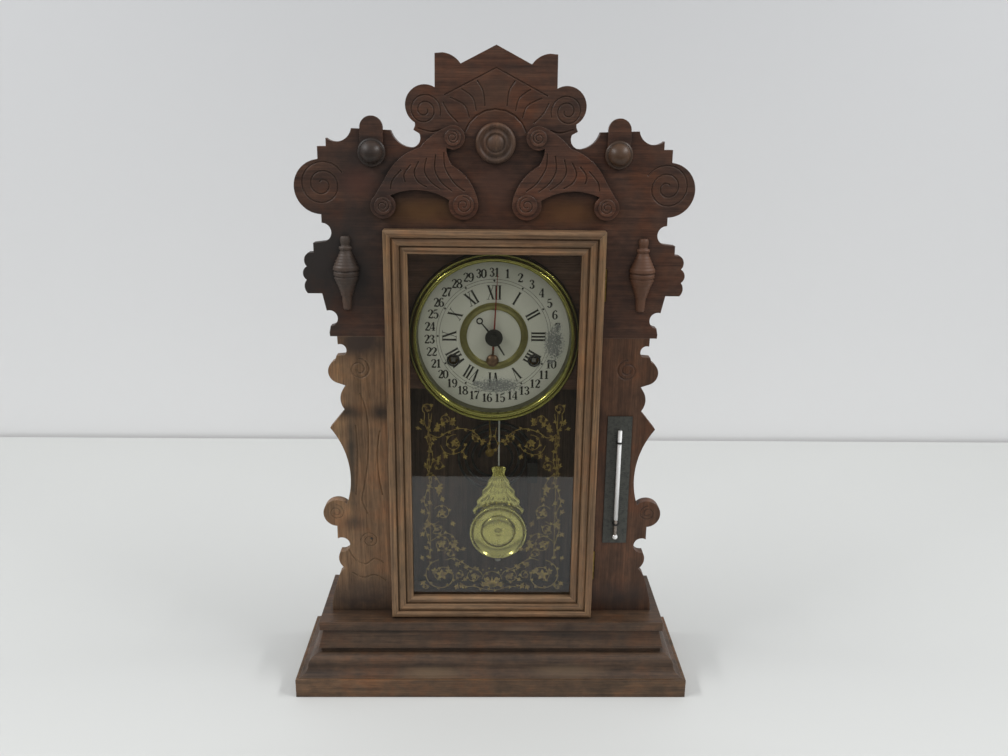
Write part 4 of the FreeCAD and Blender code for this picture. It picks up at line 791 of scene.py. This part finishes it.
# %% Gilt vine
VINE_WEIGHT = 0.62  # the vines' widths against the drawing
SPRIG_STEP, SPRIG_TURN, SPRIG_SIZE = 7, 70, 2.9
STALK, STALK_WIDTH, LEAF_SHARE = 3, 0.7, 0.54
vine = Flat(GLASS_BACK)
for sign in (1, -1):
    for stroke in half_strokes:
        run = [(sign * x, z, w * VINE_WEIGHT) for x, z, w in stroke]
        vine.stroke(run)
        walked, turn = 0.0, 1
        for (x0, z0, _), (x1, z1, _) in zip(run, run[1:]):
            walked += math.hypot(x1 - x0, z1 - z0)
            if walked > SPRIG_STEP:
                walked, turn = 0.0, -turn
                way = math.degrees(math.atan2(z1 - z0, x1 - x0))
                vine.ivy(x1, z1, way + turn * SPRIG_TURN, SPRIG_SIZE)
    for x, z, angle, length in leaves:
        way = angle if sign > 0 else 180 - angle
        a = math.radians(way)
        end_x, end_z = sign * x + STALK * math.cos(a), z + STALK * math.sin(a)
        vine.stroke([(sign * x, z, STALK_WIDTH), (end_x, end_z, STALK_WIDTH)])
        vine.ivy(end_x, end_z, way, length * LEAF_SHARE)
    for x, z, r in flowers:
        vine.dot(sign * x, z, r * 0.35, 10)
        for petal in range(5):
            vine.leaf(sign * x, z, 90 + 72 * petal, r * 1.35, r * 0.75)
for angle in range(30, 151, 20):
    vine.leaf(0, 99, angle, 13, 2.4)
for x in (-9, -3, 3, 9):
    vine.dot(x, 121 - abs(x) * 0.3, 0.8, 8)
vine.make("gilt_vine", "gilt_stencil", "door", "clear_glass")
print("gilt vine faces:", len(vine.faces))

# %% [markdown]
# ## Pressed and turned details
# The pendulum's ornament was pressed from thin brass: a ribbed sheaf that spreads into leaves over the bob.
# A grid inside the outline is raised rib by rib, as a die would press it.

# %% Pendulum ornament
low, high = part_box("pendulum_ornament")
back_y, front_y = high.y * MM, low.y * MM
foot_z, tip_z = low.z * MM, high.z * MM
mid_x = (low.x + high.x) * HALF
spread = (high.x - low.x) * HALF
OUTLINE = [  # share of the height and of the half width
    (0, .99), (.1, .92), (.22, .84), (.34, .73), (.46, .61), (.6, .48), (.72, .35),
    (.86, .21), (.91, .25), (.95, .26), (.98, .23), (1, .08),
]
ROWS, COLS = 72, 49
NECK = 0.86  # above this share of the height the edge has no scallops
SHEAF = 0.55  # the ribs take this share of the half width, and the leaves the rest


def half_width(t):
    """Half the ornament's width at a share of its height."""
    for (t0, w0), (t1, w1) in zip(OUTLINE, OUTLINE[1:]):
        if t <= t1:
            return spread * (w0 + (w1 - w0) * (t - t0) / (t1 - t0))
    return spread * OUTLINE[-1][1]


verts, faces = [], []
for i in range(ROWS + 1):
    t = i / ROWS
    scallop = 1 - 0.11 * math.cos(math.pi * 5 * t) ** 2 if t < NECK else 1
    for k in range(COLS):
        u = 2 * k / (COLS - 1) - 1
        ribs = abs(math.cos(math.pi * 4.5 * u)) ** 0.8
        leaf_edge = abs(math.sin(math.pi * (4 * t + 2.2 * abs(u)))) ** 0.8
        share = max(0.0, 1 - abs(u)) ** 0.35
        inner = 0.15 + 0.85 * (ribs if abs(u) < SHEAF else leaf_edge)
        rise = share * (0.1 + 0.9 * inner * (0.85 + 0.15 * math.cos(math.pi * 7 * t) ** 2))
        verts.append((mid_x + u * half_width(t) * scallop, back_y - (back_y - front_y) * rise,
                      foot_z + (tip_z - foot_z) * t))
for i in range(ROWS):
    for k in range(COLS - 1):
        a = i * COLS + k
        faces.append((a, a + 1, a + COLS + 1, a + COLS))
rim = list(range(COLS)) + [i * COLS + COLS - 1 for i in range(1, ROWS + 1)]
rim += [ROWS * COLS + k for k in range(COLS - 2, -1, -1)] + [i * COLS for i in range(ROWS - 1, 0, -1)]
faces.append(tuple(reversed(rim)))
relief = piece("pressed_ornament", verts, faces, "pressed_brass", "pendulum", "aged_brass", True)
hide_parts("pendulum_ornament")
print("ornament faces:", len(relief.data.polygons))

# %% [markdown]
# The bob is sheet brass spun over a form: a hollow ring with a rolled edge, and a raised boss in it. The lamps
# shine at the ring's foot and at the boss's top, as they do only on a hollow and on a crown.

# %% Bob
low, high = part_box("pendulum_bob")
bob_r, bob_d, bob_y = (high.x - low.x) * HALF, (high.y - low.y) * MM, high.y * MM
BOB = [  # share of the radius and of the depth
    (.01, 0), (.94, 0), (1, .2), (1, .8), (.993, .88), (.975, .93), (.95, .93), (.93, .87),
    (.91, .76), (.89, .66), (.86, .55), (.82, .45), (.76, .36), (.7, .31), (.65, .28),
    (.62, .27), (.605, .28), (.598, .42), (.585, .55), (.56, .67), (.53, .75), (.49, .8),
    (.44, .83), (.38, .85), (.3, .865), (.2, .875), (.13, .88), (.11, .93), (.06, .985),
    (.0003, 1),
]
verts, faces = turning([(r * bob_r, bob_y - bob_d * d) for r, d in BOB], mid_x, (low.z + high.z) * HALF)
bob = piece("turned_bob", verts, faces, "pressed_brass", "pendulum", "aged_brass", True)
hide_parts("pendulum_bob")
print("bob radius:", round(bob_r, 1), "depth:", round(bob_d, 1))

# %% [markdown]
# The rosette over the door was turned on a lathe with two soft rings round a button. The key holes in the
# dial have dark rolled eyelets, which guard the paint from the key.

# %% Rosette and eyelets
low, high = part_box("crest_rosette")
wall_y = high.y * MM
depth = wall_y - low.y * MM
ROSETTE = [  # radius and share of the depth
    (17.5, 0), (17.5, .35), (17.2, .62), (16.2, .82), (14.9, .86), (13.8, .8), (13, .7),
    (12.4, .66), (11.4, .68), (10.3, .76), (9.6, .81), (9, .82), (8.3, .77), (7.9, .72),
    (7.2, .73), (6.2, .84), (4.6, .93), (2.4, .99), (.01, 1),
]
EYELET = [(4.55, 0.3), (4.55, -0.5), (5.0, -0.75), (5.6, -0.7), (6.1, -0.35), (6.2, -0.02)]
verts, faces = turning([(r, wall_y - depth * d) for r, d in ROSETTE], 0, (low.z + high.z) * HALF)
faces.append(tuple(range(TURNED)))
rosette = piece("turned_rosette", verts, faces, "walnut_turned", "case", "walnut", True)
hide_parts("crest_rosette")
for name, (x, z) in zip(("left_eyelet", "right_eyelet"), HOLES):
    piece(name, *turning(EYELET, x, z, 48), "black_hand_paint", "case", "dial_enamel", True)
print("rosette depth:", round(depth, 1))

# %% [markdown]
# The bezel is spun brass: a broad roll, a small bead outside it and a thin flange on the dial. Its inner
# wall is given a dark, dull brass as painted shade. A small ring hides the edge of the dial's middle.

# %% Bezel and centre ring
ARC = [math.radians(a) for a in range(0, 181, 12)]
BEZEL_FACETS = 160
low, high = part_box("dial_bezel")
rim_r, top_y, foot_y = (high.x - low.x) * HALF, low.y * MM, high.y * MM
wall = [(rim_r - 9.9, foot_y), (rim_r - 9.2, top_y + 3.7)]
front = wall[1:]
front += [(rim_r - 6.5 - 2.65 * math.cos(a), top_y + 3.5 - 3.45 * math.sin(a)) for a in ARC]
front += [(rim_r - 2.35 - 1.45 * math.cos(a), top_y + 3.7 - 1.5 * math.sin(a)) for a in ARC]
front += [(rim_r - 0.85, foot_y - 1.5), (rim_r, foot_y - 1.4), (rim_r, foot_y)]
bezel = piece("turned_bezel", *turning(front, *DIAL, BEZEL_FACETS), "bezel_brass", "case", "aged_brass", True)
# the inner wall's dark brass is painted shade
piece("bezel_inner_wall", *turning(wall, *DIAL, BEZEL_FACETS), "tarnished_bezel_wall", "case", "aged_brass", True)
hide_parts("dial_bezel")
low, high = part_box("dial_centre_ring")
ring_r, top_y, foot_y = (high.x - low.x) * HALF, low.y * MM, high.y * MM
rise = foot_y - top_y
profile = [(ring_r - 6.75, foot_y)]
profile += [(ring_r - 5.5 - 1.2 * math.cos(a), foot_y - rise * math.sin(a) ** 0.7) for a in ARC[:10]]
profile += [(ring_r - 3.8, foot_y - rise * 0.55), (ring_r - 0.9, foot_y - rise * 0.5),
            (ring_r - 0.4, foot_y - rise * 0.7), (ring_r - 0.05, foot_y - rise * 0.4), (ring_r - 0.02, foot_y)]
verts, faces = turning(profile, *DIAL)
centre_ring = piece("turned_centre_ring", verts, faces, "satin_ring_brass", "case", "aged_brass", True)
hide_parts("dial_centre_ring")
print("bezel radius:", round(rim_r, 1), "ring radius:", round(ring_r, 1))

# %% [markdown]
# A spindle is turned whole with paper glued in its joint, split in two and glued to the board by its flat
# side. Here each half is a fan of half circles down its profile, with fine grooves on the belly.

# %% Split spindles
low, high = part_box("split_spindles")
tip_z, long, wide = high.z * MM, (high.z - low.z) * MM, FACE - low.y * MM
BEADS = [  # share of the length and of the largest radius
    (0, .02), (0, .3), (.03, .37), (.07, .37), (.11, .32), (.13, .32), (.142, .48),
    (.172, .48), (.19, .4), (.3, .68), (.41, .95), (.42, .99), (.45, .99), (.465, .9),
    (.49, .96), (.52, .96), (.535, .88), (.565, .92), (.68, .66), (.8, .46), (.815, .39),
    (.98, .33), (1, .26), (1, .02),
]
ACROSS = 24  # facets of the half circle
BELLY = (0.19, 0.8)
GROOVE, GROOVE_STEP = 0.7, 2.6
verts, faces = [], []
for sign in (-1, 1):
    first, rows = len(verts), 0
    for (t0, r0), (t1, r1) in zip(BEADS, BEADS[1:]):
        steps = 8 if t1 - t0 > 0.05 else 2
        for k in range(steps):
            f = k / steps
            t, r = t0 + (t1 - t0) * f, wide * (r0 + (r1 - r0) * f)
            if BELLY[0] < t < BELLY[1]:
                r -= GROOVE * math.cos(math.pi * t * long / GROOVE_STEP) ** 2
            for i in range(ACROSS + 1):
                a = math.pi * i / ACROSS
                verts.append((sign * SPINDLE[0] - r * math.cos(a), FACE - r * math.sin(a), tip_z - long * t))
            rows += 1
    for k in range(rows - 1):
        for i in range(ACROSS):
            n = first + k * (ACROSS + 1) + i
            faces.append((n, n + ACROSS + 1, n + ACROSS + 2, n + 1))
spindles = piece("turned_spindles", verts, faces, "walnut_turned", "case", "walnut", True)
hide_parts("split_spindles")
print("spindle length:", round(long, 1), "radius:", round(wide, 1))

# %% [markdown]
# One nail hole shows in the left board. Its dark inside is painted shade: a dark disc just in front of the
# wood, as it is too small to cut.

# %% Nail hole
hole_shade = Flat(FACE - 0.05)
hole_shade.dot(-119.5, 149, 1.1)
hole_shade.make("nail_hole", "black_hand_paint", "case", "walnut")
print("nail holes:", len(hole_shade.faces))

# %% [markdown]
# ## Thermometer
# A glass tube on a tarnished tin plate. The white stripe is the enamelled back of the tube; the spirit has
# sunk to a short brown column above the bulb. The scale is worn to faint strokes.

# %% Thermometer
tube_x, tube_y, bulb_z, top_z = 121.25, -17.0, 153.8, 265.0
SPIRIT_FOOT, SPIRIT_TOP = 156, 172
BULB_R = 2.6
ROUND = 20  # facets of the columns
PLATE_Y = -14.06
MARKS, MARK_STEP, MARK_START, MARK_WIDTH = 45, 2, 3.2, 0.3


def column(name, r, z0, z1, skin):
    """A round column in the tube."""
    turns = [math.tau * i / ROUND for i in range(ROUND)]
    verts = [(tube_x + r * math.cos(a), tube_y + r * math.sin(a), z) for z in (z0, z1) for a in turns]
    faces = [(i, (i + 1) % ROUND, ROUND + (i + 1) % ROUND, ROUND + i) for i in range(ROUND)]
    faces += [tuple(range(ROUND - 1, -1, -1)), tuple(range(ROUND, 2 * ROUND))]
    return piece(name, verts, faces, skin, "case", "clear_glass", True)


column("thermometer_core", 2.0, SPIRIT_TOP, top_z - 0.5, "white_glass_backing")
column("thermometer_spirit", 1.4, SPIRIT_FOOT, SPIRIT_TOP, "brown_spirit")
ball = [(BULB_R * math.sin(math.pi * i / 12), -BULB_R * math.cos(math.pi * i / 12)) for i in range(13)]
verts, faces = turning([(max(r, 0.01), tube_y + d) for r, d in ball], tube_x, bulb_z, 24)
piece("thermometer_bulb", verts, faces, "white_glass_backing", "case", "clear_glass", True)
scale = Flat(PLATE_Y)
for i in range(MARKS):
    z = SPIRIT_TOP + i * MARK_STEP
    reach = 4.2 if i % 5 == 0 else 2.6
    for sign in (1, -1):
        scale.stroke([(tube_x + sign * MARK_START, z, MARK_WIDTH),
                      (tube_x + sign * (MARK_START + reach), z, MARK_WIDTH)])
scale.make("thermometer_scale", "worn_scale_print", "case", "printed_tin")
print("scale marks:", len(scale.faces))

# %% [markdown]
# ## Stage
# A pale table and wall. The table ends in front, so the lower glass mirrors it and the upper glass mirrors the
# dark floor beyond it. Both sheets are clear from behind, so that the clock's back can be seen.

# %% Table and wall
REACH = 6000  # half the width of both sheets
TABLE_FRONT, TABLE_BACK = -552, 681
WALL_Y, WALL_FOOT, WALL_TOP = 688, -300, 2200


def sheet(name, near, far, colour, painted_top_tone):
    """A sheet of paper whose colour goes from one tone to another with height; on the wall this is painted light.
    """
    tree, surface, mm = material(name + "_paper")
    height = add(tree, "SeparateXYZ", {"Vector": add(tree, "TexCoord").outputs["Object"]}).outputs["Z"]
    share = span(tree, height, 0.0, 0.9)
    fit(tree, surface, {"Roughness": 0.9, "Base Color": blend(tree, "MIX", share, tone(colour), tone(painted_top_tone))})
    behind = add(tree, "NewGeometry").outputs["Backfacing"]
    output(tree, add(tree, "MixShader", {0: behind, 1: surface, 2: add(tree, "BsdfTransparent")}))
    corners = [(-REACH, *near), (REACH, *near), (REACH, *far), (-REACH, *far)]
    made = piece(name, corners, [(0, 1, 2, 3)], name + "_paper", None, None)
    made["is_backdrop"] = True


sheet("table", (TABLE_FRONT, 0), (TABLE_BACK, 0), "cfd0ce", "cfd0ce")
# painted light: the wall is lighter at its foot and darker towards the top
sheet("wall", (WALL_Y, WALL_FOOT), (WALL_Y, WALL_TOP), "e6e6e6", "c9cacc")
print("wall at", WALL_Y, "mm")

# %% [markdown]
# Two strip lamps hang left and right in front of the clock and give the four small highlights on the bob. The
# rest of the light comes from the room, which is pale above the horizon and dark below.

# %% Lamps and room
LAMP_SIDE, LAMP_Y, LAMP_Z, LAMP_TURN = 1.4, -0.4, 1.6, 48
LAMP_SIZE, LAMP_POWER = (0.16, 1.4), 22
for name, sign in (("lamp_left", -1), ("lamp_right", 1)):
    lamp = bpy.data.lights.new(name, "AREA")
    lamp.shape = "RECTANGLE"
    lamp.size, lamp.size_y = LAMP_SIZE
    lamp.energy = LAMP_POWER
    made = bpy.data.objects.new(name, lamp)
    made.location = (sign * LAMP_SIDE, LAMP_Y, LAMP_Z)
    made.rotation_euler = (0, math.radians(sign * LAMP_TURN), 0)
    scene.collection.objects.link(made)
world = bpy.data.worlds.new("room")
scene.world = world
world.use_nodes = True
tree = world.node_tree
room = tree.nodes["Background"]
height = add(tree, "SeparateXYZ", {"Vector": add(tree, "TexCoord").outputs["Generated"]}).outputs["Z"]
above = span(tree, height, -0.12, 0.02, curve="SMOOTHSTEP")
fit(tree, room, {"Strength": 0.75, "Color": blend(tree, "MIX", above, tone("6a6862"), tone("d6d8da"))})
print("lamps:", len(bpy.data.lights))

# %% [markdown]
# ## Camera
# The photographer stood in front, a little above the clock, about 0.8 m away, and looked 16 degrees down.

# %% Camera
FOCAL_PIXELS, PHOTO_WIDTH, SENSOR = 890.4, 1008, 36
STAND = (-0.00555, -0.8179, 0.5476)
pitch, yaw, roll = (math.radians(v) for v in (16.092, 1.089, 0.688))
ahead = Vector((math.sin(yaw) * math.cos(pitch), math.cos(yaw) * math.cos(pitch), -math.sin(pitch)))
right = ahead.cross(Vector((0, 0, 1))).normalized()
up = right.cross(ahead)
across = math.cos(roll) * right + math.sin(roll) * up
upward = -math.sin(roll) * right + math.cos(roll) * up
camera = bpy.data.objects.new("camera", bpy.data.cameras.new("camera"))
camera.data.sensor_width = SENSOR
camera.data.lens = FOCAL_PIXELS * SENSOR / PHOTO_WIDTH
camera.data.clip_start = 0.02
turn = Matrix((across, upward, -ahead)).transposed().to_4x4()
camera.matrix_world = Matrix.Translation(STAND) @ turn
scene.collection.objects.link(camera)
scene.camera = camera
scene.view_settings.view_transform = "Standard"
print("lens:", round(camera.data.lens, 1), "mm")

# %% [markdown]
# ## Sizes
# The box of the dressed clock, without table and wall, is printed. The looks must not grow past the real
# piece.

# %% Sizes and finish
low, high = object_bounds()
print("visual box:", [round(v * 1000, 1) for v in low], [round(v * 1000, 1) for v in high])
